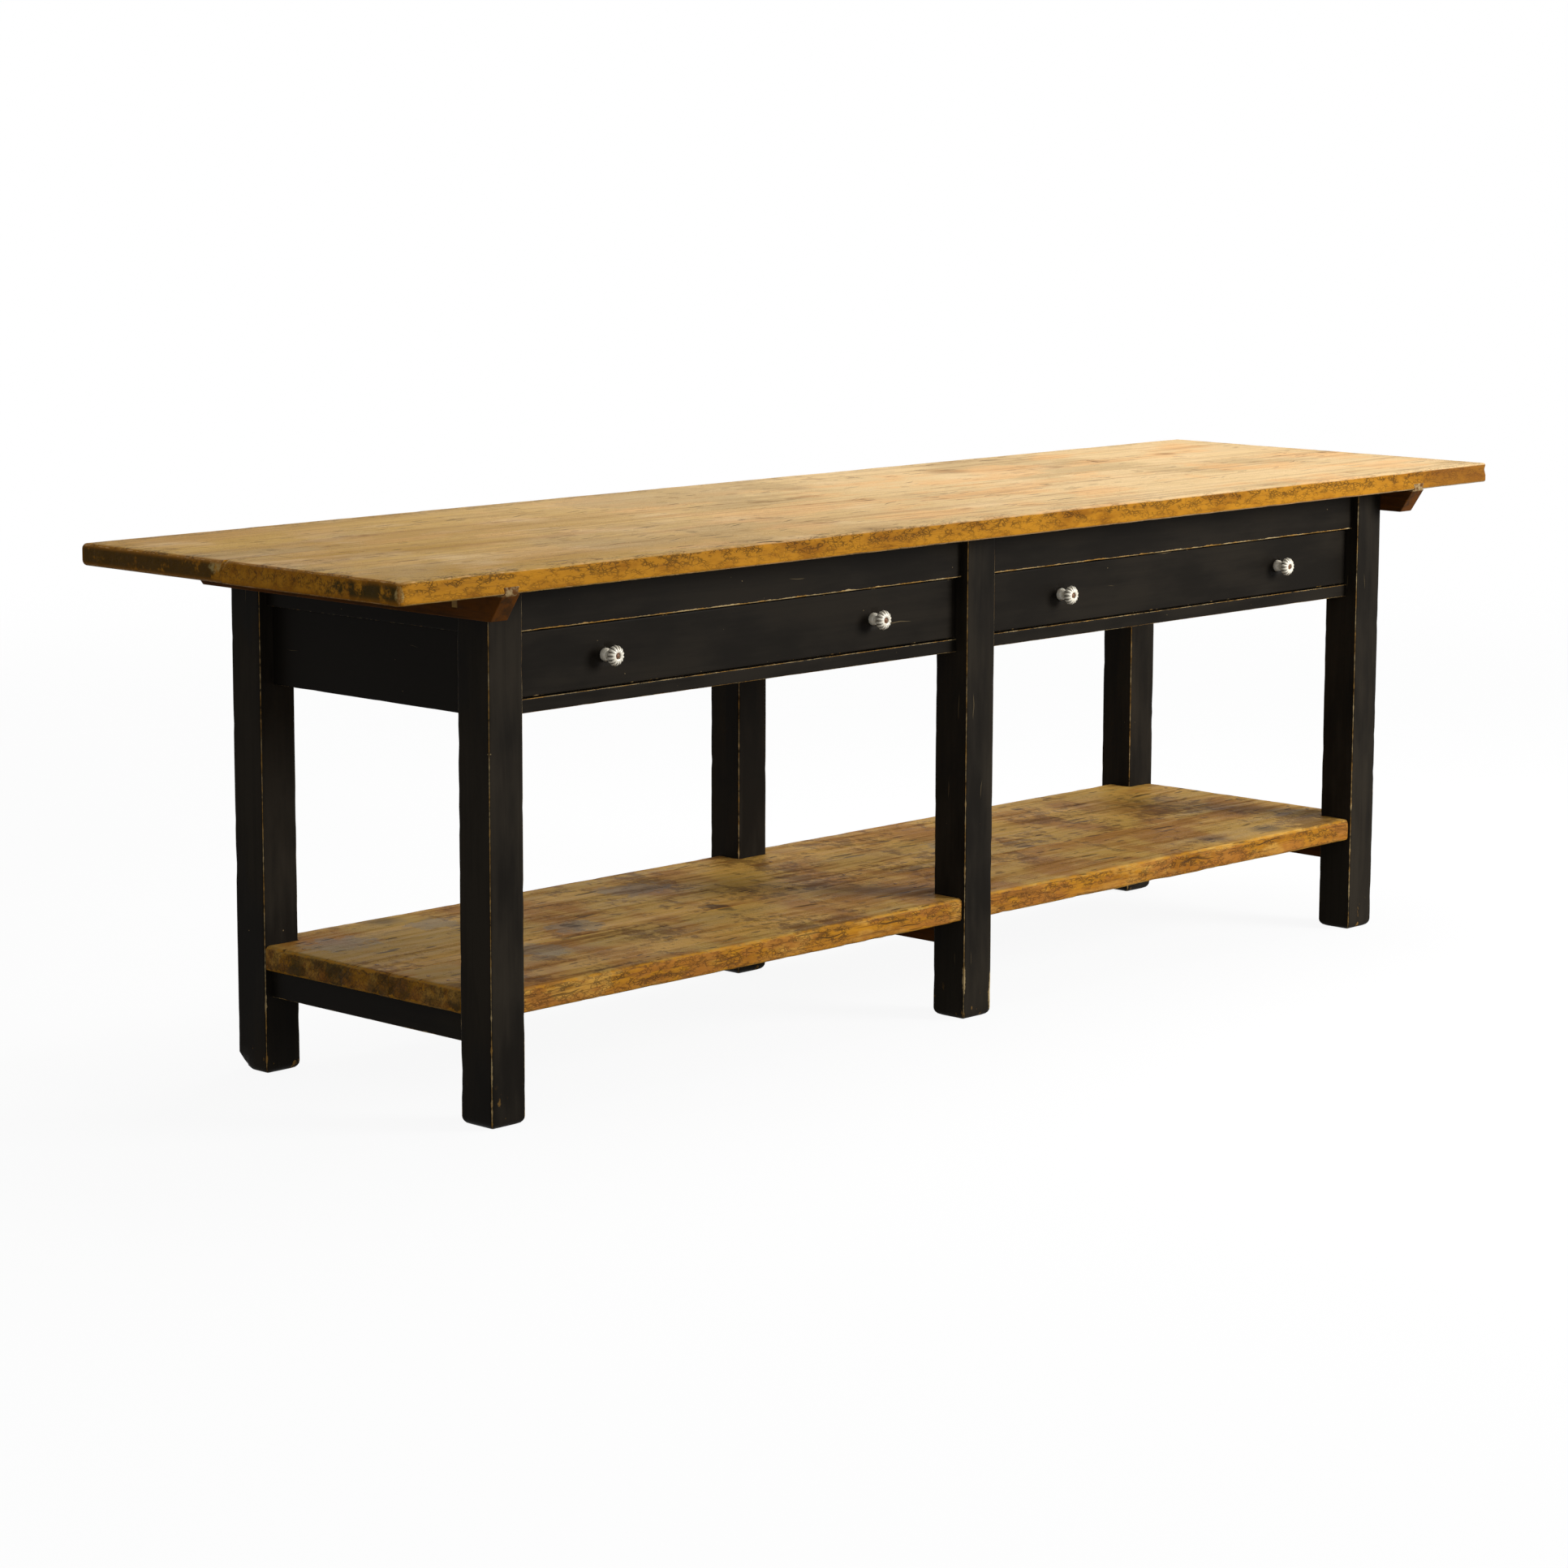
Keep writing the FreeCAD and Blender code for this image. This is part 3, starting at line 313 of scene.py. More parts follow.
def grain_group():
    """Growth rings sawn along the board: broad bands, streaks, fine fibres and thin late-wood lines."""
    outputs = ("Bands", "Streaks", "Fibres", "Lines")
    tree, sheet, given, result = new_group("Board Grain", ("Position", "Width"), outputs)
    place = given["Position"]
    sway = sheet.cloud(sheet.scaled(place, (1.1, 4.0, 4.0)), 1.0, 2.0)
    bend = sheet.add("ShaderNodeCombineXYZ", {"Y": sheet.product(sway, 0.07)}).outputs[0]
    swayed = sheet.shifted(place, bend)
    bands = sheet.cloud(sheet.scaled(swayed, (0.6, 8.0, 8.0)), given["Width"], 3.0)
    streaks = sheet.cloud(sheet.scaled(swayed, (2.8, 40.0, 40.0)), given["Width"], 6.0, 0.66)
    fibres = sheet.cloud(sheet.scaled(place, (9.0, 230.0, 230.0)), 1.0, 4.0, 0.65)
    rings = sheet.cloud(sheet.scaled(swayed, (0.4, 26.0, 26.0)), given["Width"], 1.0)
    folded = sheet.math("ABSOLUTE", sheet.minus(rings, 0.5))
    lines = sheet.step(folded, 0.0, 0.04, 1.0, 0.0)
    for name, value in zip(outputs, (bands, streaks, fibres, lines)):
        sheet.feed(result[name], value)
    return tree


def wear_group():
    """Ragged wear along the edges, from each point's distance to the nearest edge."""
    inputs = ("Position", "Distance", "Width", "Cover", "Scale")
    tree, sheet, given, result = new_group("Edge Wear", inputs, ("Worn",))
    ragged = sheet.cloud(given["Position"], given["Scale"], 4.0, 0.65)
    bare = sheet.minus(1.0, given["Cover"])
    reach = sheet.product(sheet.minus(ragged, bare), given["Width"], 3.0)
    left = sheet.minus(reach, given["Distance"])
    soft = sheet.product(given["Width"], 0.3)
    sheet.feed(result["Worn"], sheet.step(left, 0.0, soft))
    return tree


def crackle_group():
    """Old varnish shrunk into small blocks, longer along the grain, with dirt in the lines between them."""
    tree, sheet, given, result = new_group("Crackle", ("Position", "Cells", "Cover"), ("Cracks", "Patches"))
    place = given["Position"]
    drift = sheet.add("ShaderNodeTexNoise", {"Vector": place, "Scale": 50.0}).outputs["Color"]
    warped = sheet.shifted(place, sheet.scaled(drift, (0.003, 0.0016, 0.0016)))
    blocks = sheet.scaled(warped, (0.42, 1.0, 1.0))
    fine = sheet.cells(blocks, given["Cells"], "DISTANCE_TO_EDGE")["Distance"]
    coarse = sheet.cells(blocks, sheet.product(given["Cells"], 0.45), "DISTANCE_TO_EDGE")["Distance"]
    thin = sheet.step(fine, 0.04, 0.11, 1.0, 0.0)
    lines = sheet.largest(thin, sheet.step(coarse, 0.03, 0.07, 1.0, 0.0))
    length_wise = sheet.scaled(place, (0.45, 1.0, 1.0))
    broken = sheet.step(sheet.cloud(length_wise, sheet.product(given["Cells"], 0.4), 2.0), 0.42, 0.54)
    spread = sheet.cloud(length_wise, 14.0, 4.0, 0.62)
    bare = sheet.minus(1.0, given["Cover"])
    patches = sheet.step(spread, bare, sheet.total(bare, 0.14))
    sheet.feed(result["Patches"], patches)
    sheet.feed(result["Cracks"], sheet.product(lines, broken, patches))
    return tree


def nick_group():
    """Thin marks of uneven length; Cover is the share of places that have one."""
    inputs = ("Position", "Along", "Across", "Cover", "Slant")
    tree, sheet, given, result = new_group("Nicks", inputs, ("Marks",))
    axes = {letter: sheet.axis(given["Position"], letter) for letter in "XYZ"}
    wander = sheet.product(sheet.cloud(given["Position"], 9.0, 2.0), 0.030)
    across = sheet.total(axes["Y"], axes["Z"], wander)
    slanted = sheet.total(across, sheet.product(axes["X"], given["Slant"]))
    flat = sheet.flat(sheet.product(axes["X"], given["Along"]), sheet.product(slanted, given["Across"]))
    spots = sheet.flat_cells(flat)
    chance = sheet.axis(spots["Color"], "X")
    bare = sheet.minus(1.0, given["Cover"])
    present = sheet.step(chance, bare, sheet.total(bare, 0.02))
    size = sheet.total(sheet.product(sheet.axis(spots["Color"], "Y"), 0.22), 0.06)
    reach = sheet.product(size, present)
    ragged = sheet.product(sheet.cloud(flat, 5.0), 0.10)
    inside = sheet.minus(reach, spots["Distance"], ragged)
    sheet.feed(result["Marks"], sheet.step(inside, -0.03, 0.04))
    return tree


def make_groups():
    """The shared effects, each built once."""
    return {"grain": grain_group(), "wear": wear_group(), "crackle": crackle_group(), "nicks": nick_group()}


# Materials
EVEN = (1.0, 1.0, 1.0)


class Coat:
    """A material in the making: its node sheet, its shader, and the board's own directions."""

    def __init__(self, name, groups, specular, roughness=0.5):
        self.material = bpy.data.materials.new(name)
        self.material.use_nodes = True
        self.sheet = Sheet(self.material.node_tree)
        self.shader = self.material.node_tree.nodes["Principled BSDF"]
        self.shader.inputs["Roughness"].default_value = roughness
        self.shader.inputs["Specular IOR Level"].default_value = specular
        self.groups = groups
        self.grain_place = None

    def place(self):
        """Position with the grain along X: carried by the worn boards, or turned from the node's own axes."""
        if self.grain_place is None:
            self.grain_place = self.sheet.attribute("grain").outputs["Vector"]
        return self.grain_place

    def turn_grain(self, axes):
        """Takes the grain's direction from the object's axes, in that order."""
        inputs = dict(zip("XYZ", (self.position(letter) for letter in axes)))
        self.grain_place = self.sheet.add("ShaderNodeCombineXYZ", inputs).outputs[0]

    def position(self, axis):
        return self.sheet.axis(self.sheet.own_place(), axis)

    def facing(self, axis):
        normal = self.sheet.add("ShaderNodeNewGeometry", {}).outputs["Normal"]
        return self.sheet.axis(normal, axis)

    def sides(self):
        """One on upright faces, none on level ones."""
        return self.sheet.step(self.sheet.math("ABSOLUTE", self.facing("Z")), 0.35, 0.75, 1.0, 0.0)

    def edge_distance(self):
        return self.sheet.attribute("arris").outputs["Fac"]

    def grain(self, width):
        return self.sheet.group(self.groups["grain"], Position=self.place(), Width=width)

    def worn_edge(self, width, cover, scale):
        return self.sheet.group(self.groups["wear"], Position=self.place(), Distance=self.edge_distance(),
                                Width=width, Cover=cover, Scale=scale)["Worn"]

    def crackle(self, cells, cover):
        return self.sheet.group(self.groups["crackle"], Position=self.place(), Cells=cells, Cover=cover)

    def nicks(self, along, across, cover, slant=0.0):
        return self.sheet.group(self.groups["nicks"], Position=self.place(), Along=along, Across=across,
                                Cover=cover, Slant=slant)["Marks"]

    def cloud(self, stretch, scale, detail=3.0, roughness=0.55):
        return self.sheet.cloud(self.sheet.scaled(self.place(), stretch), scale, detail, roughness)

    def spot(self, centre, size, ragged=1.6):
        """One ragged patch round a place on the table; size is its half width on each axis."""
        offset = self.sheet.shifted(self.sheet.own_place(), [-v for v in centre])
        gap = self.sheet.size(self.sheet.scaled(offset, [1 / v for v in size]))
        uneven = self.sheet.minus(self.cloud(EVEN, 30.0, 7.0, 0.72), 0.5)
        torn = self.sheet.total(gap, self.sheet.product(uneven, ragged))
        return self.sheet.step(torn, 0.70, 1.05, 1.0, 0.0)

    def spots(self, places, ragged=1.6):
        """Ragged patches round several places, each given as a centre and a size."""
        found = 0.0
        for centre, size in places:
            found = self.sheet.largest(self.spot(centre, size, ragged), found)
        return found

    def patches(self, stretch, low, high, streaks, ragged, most):
        """Patches whose edges are drawn out along the grain by the streaks, no stronger than most."""
        spread = self.cloud(stretch, 1.0, 4.0)
        uneven = self.sheet.product(self.sheet.minus(streaks, 0.5), ragged)
        return self.sheet.step(self.sheet.total(spread, uneven), low, high, 0.0, most)

    def finish(self, base, rough, height, strength, depth):
        self.sheet.feed(self.shader.inputs["Base Color"], base)
        self.sheet.feed(self.shader.inputs["Roughness"], rough)
        self.sheet.feed(self.shader.inputs["Normal"], self.sheet.bump(height, strength, depth))
        return self.material


def knots(coat, along, across, chance):
    """Dark oval knots; chance is the share of places that have one."""
    sheet = coat.sheet
    axes = {letter: sheet.axis(coat.place(), letter) for letter in "XYZ"}
    wavy = sheet.product(coat.cloud(EVEN, 30.0), 0.03)
    sideways = sheet.total(axes["Y"], axes["Z"], wavy)
    lengthways = sheet.total(axes["X"], wavy)
    spots = sheet.flat_cells(sheet.flat(sheet.product(lengthways, along), sheet.product(sideways, across)))
    present = sheet.step(sheet.axis(spots["Color"], "Y"), 1.0 - chance, 1.0 - chance + 0.02)
    return sheet.product(sheet.step(spots["Distance"], 0.03, 0.17, 1.0, 0.0), present)


def board_edge(coat, finish, grain, zone, cells, cover, fibres, split):
    """Varnished sides of a board: ochre to amber, crackled in the zone, with dirt in the cracks.

    Fibres is how dark the grain shows through, and split the share of places with a crack along the grain.
    """
    sheet = coat.sheet
    crackle = coat.crackle(cells, cover)
    tone = coat.cloud((7.0, 24.0, 24.0), 1.0, 6.0, 0.64)
    varnish = sheet.lay(finish.edge_ochre, finish.edge_amber, sheet.step(tone, 0.44, 0.68))
    flaked = coat.cloud((1.0, 2.4, 2.4), 36.0, 6.0, 0.70)
    varnish = sheet.lay(varnish, finish.edge_amber, sheet.step(flaked, 0.53, 0.68, 0.0, 0.60))
    varnish = sheet.lay(varnish, finish.shelf_brown, sheet.step(grain["Fibres"], 0.54, 0.74, 0.0, fibres))
    dirty = sheet.product(crackle["Patches"], zone, 0.20)
    varnish = sheet.lay(varnish, finish.shelf_brown, dirty)
    splits = sheet.product(coat.nicks(5.0, 150.0, split), 0.8)
    cracks = sheet.largest(sheet.product(crackle["Cracks"], zone), splits)
    return sheet.lay(varnish, finish.crack, cracks, 0.66), cracks


def end_marks(coat, finish, side):
    """The left end of the top: amber by the seam, dark handling marks on both sides of it, and pale chips."""
    sheet = coat.sheet
    outward = sheet.step(coat.facing("X"), -0.85, -0.45, 1.0, 0.0)
    across = coat.position("Y")
    uneven = sheet.product(coat.cloud(EVEN, 40.0, 7.0, 0.72), 1.7)
    smears = sheet.minus(uneven, 0.35)
    near = sheet.step(across, -0.32, -0.10, 0.19, -0.20)
    behind = sheet.step(across, 0.02, 0.06, 0.0, 0.46)
    dirt = sheet.total(smears, near, behind)
    side = sheet.lay(side, finish.grime, outward, sheet.step(dirt, 0.46, 0.68, 0.0, 0.94))
    flecks = sheet.product(coat.nicks(75.0, 110.0, 0.16), outward, 0.50)
    side = sheet.lay(side, finish.chip, flecks)
    chips = coat.spots((
        ((-1.350, -0.368, 0.842), (0.007, 0.008, 0.017)),
        ((-1.351, 0.040, 0.853), (0.020, 0.018, 0.013)),
    ), 3.0)
    flaked = sheet.step(coat.cloud(EVEN, 150.0, 5.0, 0.7), 0.40, 0.60, 0.10, 0.72)
    return sheet.lay(side, finish.chip, chips, flaked)


def top_pine(finish, groups):
    """Scrubbed and waxed pine: tan bands, salmon and grey patches, gouges, and crackled edges. The top grows
    paler towards its right end, partly as painted light from the right, and a pale salmon line along its
    edges is partly a painted highlight.
    """
    coat = Coat("waxed_pine_top", groups, 0.025)
    sheet = coat.sheet
    grain = coat.grain(1.0)
    streaks = grain["Streaks"]
    along = coat.position("X")
    body = sheet.lay(finish.top_honey, finish.top_tan, sheet.step(grain["Bands"], 0.36, 0.64))
    # Paler towards the right end: partly paler wood, partly painted light falling from the right.
    rubbed = sheet.step(along, -1.30, 0.60, 0.0, 0.75)
    body = sheet.lay(body, finish.top_pale, rubbed)
    body = sheet.lay(body, finish.top_grey, coat.patches((2.6, 3.4, 3.4), 0.48, 0.64, streaks, 0.35, 0.60))
    salmon = coat.patches((4.5, 7.0, 7.0), 0.48, 0.62, streaks, 0.45, 0.65)
    body = sheet.lay(body, finish.top_salmon, salmon, sheet.step(along, -1.2, 0.2, 0.35, 1.0))
    body = sheet.lay(body, finish.top_pale, coat.patches((5.0, 8.0, 8.0), 0.50, 0.74, streaks, 0.45, 0.50))
    body = sheet.lay(body, finish.top_deep, sheet.step(streaks, 0.54, 0.78, 0.0, 0.32))
    body = sheet.lay(body, finish.top_deep, grain["Lines"], 0.34)
    body = sheet.lay(body, finish.top_deep, sheet.step(grain["Fibres"], 0.50, 0.78, 0.0, 0.36))
    scrubbed = coat.spot((-0.22, 0.25, 0.86), (0.26, 0.15, 0.05))
    body = sheet.lay(body, finish.top_grey, scrubbed, 0.55)
    smudges = coat.patches((11.0, 14.0, 14.0), 0.62, 0.74, streaks, 0.5, 0.45)
    body = sheet.lay(body, finish.shelf_brown, smudges)
    body = sheet.lay(body, finish.shelf_brown, knots(coat, 2.3, 3.6, 0.16), 0.40)
    gouges = sheet.largest(coat.nicks(7.0, 75.0, 0.15), coat.nicks(16.0, 110.0, 0.16))
    scratches = sheet.largest(coat.nicks(7.0, 110.0, 0.07, 0.20), coat.nicks(9.0, 120.0, 0.06, -0.35))
    cuts = coat.nicks(110.0, 9.0, 0.06, 0.1)
    busy = sheet.step(coat.cloud(EVEN, 3.0), 0.38, 0.60, 0.30, 1.0)
    slight = sheet.largest(sheet.product(scratches, 0.70), sheet.product(cuts, 0.60))
    marks = sheet.product(sheet.largest(sheet.product(gouges, 0.92), slight), busy)
    body = sheet.lay(body, finish.crack, marks)
    zone = sheet.step(coat.position("Z"), 0.828, 0.850, 0.45, 1.0)
    side, cracks = board_edge(coat, finish, grain, zone, 230.0, 0.68, 0.42, 0.16)
    reddened = sheet.step(along, 1.08, 1.22, 0.0, 0.70)
    side = sheet.lay(side, finish.edge_red, reddened)
    sides = coat.sides()
    base = sheet.lay(body, end_marks(coat, finish, side), sides)
    lip = sheet.step(coat.edge_distance(), 0.0, 0.012, 1.0, 0.0)
    at_left = sheet.step(along, -1.353, -1.320, 0.75, 0.0)
    base = sheet.lay(base, finish.edge_amber, lip, at_left)
    # A pale salmon line along the edges: partly worn wood, partly a painted highlight on the rounded arris.
    chipped = sheet.product(coat.worn_edge(0.004, 0.58, 70.0), 0.65)
    base = sheet.lay(base, finish.top_salmon, chipped)
    border = sheet.step(coat.edge_distance(), 0.005, 0.065, 1.0, 0.0)
    leftward = sheet.step(along, -1.1, 0.9, 0.60, 0.30)
    level = sheet.minus(1.0, sides)
    border_cracks = sheet.product(coat.crackle(170.0, 0.62)["Cracks"], border, leftward, level)
    base = sheet.lay(base, finish.crack, border_cracks)
    rough = sheet.step(sheet.total(streaks, sheet.product(rubbed, 0.2)), 0.3, 0.8, 0.50, 0.70)
    relief = sheet.minus(sheet.product(streaks, 0.5), sheet.largest(marks, cracks))
    return coat.finish(base, rough, relief, 0.5, 0.0010)


def shelf_pine(finish, groups):
    """Badly worn pine: tan ground under flaking brown finish, with grey patches and reddish stains. The shelf
    is darker at its left end and paler towards its right, partly as painted light and shade, and its edges
    are paler partly as a painted highlight.
    """
    coat = Coat("weathered_pine_shelf", groups, 0.04)
    sheet = coat.sheet
    grain = coat.grain(1.2)
    streaks = grain["Streaks"]
    # Paler towards the right end and darker at the left end: partly the wood's tone, partly painted light
    # from the right and painted shade under the top.
    rightward = sheet.step(coat.position("X"), -1.0, 0.4, 0.0, 1.0)
    ground = sheet.lay(finish.shelf_olive, finish.shelf_tan, sheet.step(grain["Bands"], 0.36, 0.64))
    body = sheet.lay(ground, finish.shelf_tan, rightward, 0.55)
    body = sheet.lay(body, finish.shelf_brown, sheet.step(coat.position("X"), -1.12, -0.70, 0.34, 0.0))
    reddish = coat.patches((8.0, 5.5, 5.5), 0.44, 0.64, streaks, 0.5, 0.70)
    body = sheet.lay(body, finish.shelf_red, reddish)
    flakes = coat.cloud((1.0, 0.8, 0.8), 44.0, 7.0, 0.72)
    thick = sheet.minus(coat.cloud((1.0, 0.7, 0.7), 6.0, 3.0), 0.5)
    left_on = sheet.total(flakes, sheet.product(thick, 0.9))
    body = sheet.lay(body, finish.shelf_brown, sheet.step(left_on, 0.53, 0.65, 0.0, 0.64))
    weathered = coat.spots((
        ((-1.02, 0.16, 0.21), (0.07, 0.06, 0.06)),
        ((-0.81, 0.18, 0.21), (0.05, 0.05, 0.06)),
        ((-0.66, 0.00, 0.21), (0.06, 0.05, 0.06)),
        ((-0.83, -0.10, 0.21), (0.05, 0.05, 0.06)),
        ((-0.37, 0.16, 0.21), (0.08, 0.05, 0.06)),
        ((0.34, 0.05, 0.21), (0.07, 0.05, 0.06)),
    ), 2.6)
    body = sheet.lay(body, finish.shelf_grey, weathered, 0.55)
    body = sheet.lay(body, finish.shelf_brown, sheet.step(streaks, 0.54, 0.70, 0.0, 0.55))
    body = sheet.lay(body, finish.crack, sheet.step(grain["Fibres"], 0.54, 0.74, 0.0, 0.55))
    eyes = coat.spots((
        ((-0.38, -0.06, 0.21), (0.022, 0.034, 0.05)),
        ((-0.66, 0.01, 0.21), (0.016, 0.020, 0.05)),
        ((0.30, 0.04, 0.21), (0.018, 0.026, 0.05)),
    ))
    dark_spots = sheet.largest(eyes, knots(coat, 3.0, 4.0, 0.14))
    body = sheet.lay(body, finish.crack, dark_spots, 0.62)
    crackle = coat.crackle(70.0, 0.52)
    body = sheet.lay(body, finish.shelf_brown, crackle["Cracks"], 0.25)
    marks = sheet.largest(coat.nicks(7.0, 48.0, 0.24), coat.nicks(16.0, 75.0, 0.28))
    body = sheet.lay(body, finish.crack, marks, 0.75)
    side, cracks = board_edge(coat, finish, grain, 0.60, 230.0, 0.66, 0.75, 0.34)
    side = sheet.lay(side, finish.shelf_tan, coat.patches((10.0, 22.0, 22.0), 0.46, 0.60, streaks, 0.5, 0.55))
    side = sheet.lay(side, finish.shelf_red, coat.patches((12.0, 30.0, 30.0), 0.50, 0.62, streaks, 0.6, 0.80))
    low_down = sheet.step(coat.position("Z"), 0.172, 0.196, 0.55, 0.0)
    side = sheet.lay(side, finish.shelf_red, low_down)
    splinters = coat.cloud((14.0, 300.0, 300.0), 1.0, 5.0, 0.7)
    side = sheet.lay(side, finish.shelf_brown, sheet.step(splinters, 0.48, 0.66, 0.0, 0.70))
    side = sheet.lay(side, finish.crack, cracks, 0.70)
    outward = sheet.step(coat.facing("X"), -0.85, -0.45, 1.0, 0.0)
    smears = sheet.step(coat.cloud(EVEN, 20.0, 5.0, 0.68), 0.40, 0.64, 0.15, 0.85)
    side = sheet.lay(side, finish.grime, outward, smears)
    base = sheet.lay(body, side, coat.sides())
    # An ochre line along the edges: partly worn wood, partly a painted highlight on the rounded arris.
    rubbed = sheet.product(coat.worn_edge(0.010, 0.62, 45.0), 0.65)
    base = sheet.lay(base, finish.edge_ochre, rubbed)
    rough = sheet.step(streaks, 0.35, 0.7, 0.45, 0.72)
    relief = sheet.minus(sheet.product(streaks, 0.8), sheet.largest(marks, cracks))
    return coat.finish(base, rough, relief, 0.6, 0.0013)


def black_paint(finish, groups, name, width, cover, scuffs_and_painted_light):
    """Satin black paint over pine: scuffed patches, pinhead chips, and bared wood on the edges and feet. The
    share of lighter scuffed patches is partly painted light: many on the lit copy for the legs, few on the
    shaded copy for the aprons.
    """
    coat = Coat(name, groups, 0.02)
    sheet = coat.sheet
    grain = coat.grain(1.6)
    # Lighter scuffed patches: partly real scuffs, partly painted light, since their share is set by how lit
    # each copy stands.
    rubbed = coat.patches((3.5, 10.0, 10.0), 0.36, 0.66, grain["Streaks"], 0.3, scuffs_and_painted_light)
    body = sheet.lay(finish.paint, finish.paint_scuffed, rubbed)
    body = sheet.lay(body, finish.paint, grain["Lines"], 0.2)
    scratches = sheet.product(coat.nicks(7.0, 220.0, 0.02, 0.05), 0.18)
    pinheads = sheet.product(coat.nicks(120.0, 120.0, 0.012), 0.45)
    body = sheet.lay(body, finish.bared_pale, sheet.largest(scratches, pinheads))
    height = coat.position("Z")
    chips = sheet.step(coat.cloud((0.6, 1.0, 1.0), 60.0, 4.0, 0.6), 0.63, 0.68, 0.0, 0.60)
    body = sheet.lay(body, finish.bared, chips, sheet.step(height, 0.010, 0.075, 1.0, 0.0))
    knocks = coat.spots((
        ((0.030, -0.300, 0.045), (0.007, 0.007, 0.040)),
        ((-0.040, -0.300, 0.070), (0.005, 0.005, 0.030)),
    ), 2.6)
    body = sheet.lay(body, finish.bared_pale, knocks, 0.8)
    kicked = sheet.step(height, 0.05, 0.50, 1.9, 1.0)
    worn = coat.worn_edge(sheet.product(kicked, width), cover, 36.0)
    hairline = sheet.product(coat.worn_edge(width * 0.6, min(cover + 0.12, 0.95), 120.0), 0.85)
    bared = sheet.largest(worn, hairline)
    tone = sheet.step(coat.cloud((0.5, 1.0, 1.0), 50.0, 4.0), 0.42, 0.60)
    base = sheet.lay(body, sheet.lay(finish.bared, finish.bared_pale, tone), bared)
    rough = sheet.step(rubbed, 0.0, 0.7, 0.40, 0.60)
    relief = sheet.minus(sheet.product(grain["Streaks"], 0.6), sheet.product(bared, 0.8))
    return coat.finish(base, rough, relief, 0.30, 0.0007)


def brown_stain(finish, groups):
    """Dark reddish-brown stain rubbed thin on the edges; pale end grain where a tongue shows in the top."""
    coat = Coat("brown_stained_pine", groups, 0.02)
    sheet = coat.sheet
    grain = coat.grain(1.8)
    body = sheet.lay(finish.stain, finish.crack, sheet.step(grain["Streaks"], 0.42, 0.62, 0.0, 0.7))
    dirty = sheet.step(coat.cloud(EVEN, 14.0, 5.0, 0.65), 0.48, 0.70, 0.0, 0.6)
    body = sheet.lay(body, finish.crack, dirty)
    rubbed = coat.worn_edge(0.004, 0.5, 60.0)
    body = sheet.lay(body, finish.edge_amber, rubbed, 0.5)
    tongue = sheet.step(coat.position("Z"), 0.8205, 0.8225)
    rings = sheet.step(coat.cloud(EVEN, 110.0, 4.0), 0.38, 0.62)
    end_grain = sheet.lay(finish.top_grey, finish.shelf_brown, rings)
    base = sheet.lay(body, end_grain, tongue)
    rough = sheet.step(grain["Fibres"], 0.3, 0.7, 0.45, 0.65)
    return coat.finish(base, rough, grain["Streaks"], 0.4, 0.0008)


def inner_pine(finish, groups, name, axes):
    """Dry unfinished pine inside the table, with dust and stains; axes put the grain's direction first."""
    coat = Coat(name, groups, 0.15)
    coat.turn_grain(axes)
    sheet = coat.sheet
    grain = coat.grain(1.6)
    body = sheet.lay(finish.bare_pine, finish.top_honey, sheet.step(grain["Bands"], 0.34, 0.66))
    body = sheet.lay(body, finish.top_deep, grain["Lines"], 0.4)
    body = sheet.lay(body, finish.shelf_brown, sheet.step(grain["Streaks"], 0.52, 0.75, 0.0, 0.55))
    dusty = coat.patches((4.0, 8.0, 8.0), 0.54, 0.72, grain["Streaks"], 0.4, 0.6)
    body = sheet.lay(body, finish.shelf_grey, dusty)
    body = sheet.lay(body, finish.shelf_brown, knots(coat, 3.0, 6.0, 0.25), 0.6)
    rough = sheet.step(grain["Fibres"], 0.3, 0.7, 0.6, 0.8)
    return coat.finish(body, rough, grain["Streaks"], 0.5, 0.0008)


def knob_porcelain(finish, groups):
    """Cream glaze, gathered thin and stained in the creases, with faint crazing. The dark colour in the
    creases is partly dirt, partly painted shade.
    """
    coat = Coat("stained_porcelain", groups, 0.5)
    coat.turn_grain("XYZ")
    sheet = coat.sheet
    crease = sheet.attribute("crease").outputs["Fac"]
    tint = sheet.step(coat.cloud(EVEN, 130.0, 3.0), 0.40, 0.75, 0.0, 0.25)
    glaze = sheet.lay(finish.porcelain, finish.top_pale, tint)
    specks = sheet.step(coat.cloud(EVEN, 210.0, 4.0), 0.45, 0.8, -0.1, 0.2)
    # Crease darkening: partly dirt in the creases, partly painted shade where the lobes meet.
    dirt = sheet.total(crease, specks)
    base = sheet.lay(glaze, finish.porcelain_stain_and_crease_shade, sheet.step(dirt, 0.26, 0.62, 0.0, 0.95))
    crazing = coat.crackle(420.0, 0.55)["Cracks"]
    base = sheet.lay(base, finish.porcelain_stain_and_crease_shade, crazing, 0.16)
    return coat.finish(base, sheet.step(dirt, 0.2, 0.7, 0.26, 0.55), crazing, 0.08, 0.0002)


def rusty_iron(finish, groups):
    """Dark iron under uneven orange-brown rust."""
    coat = Coat("rusty_iron", groups, 0.35)
    coat.turn_grain("XYZ")
    sheet = coat.sheet
    bloom = coat.cloud(EVEN, 420.0, 5.0, 0.65)
    rusted = sheet.step(bloom, 0.38, 0.58)
    base = sheet.lay(finish.iron, finish.rust, rusted)
    base = sheet.lay(base, finish.edge_amber, sheet.step(bloom, 0.60, 0.75, 0.0, 0.7))
    sheet.feed(coat.shader.inputs["Metallic"], sheet.step(rusted, 0.2, 0.8, 0.85, 0.05))
    return coat.finish(base, sheet.step(rusted, 0.1, 0.9, 0.42, 0.85), bloom, 0.5, 0.0004)


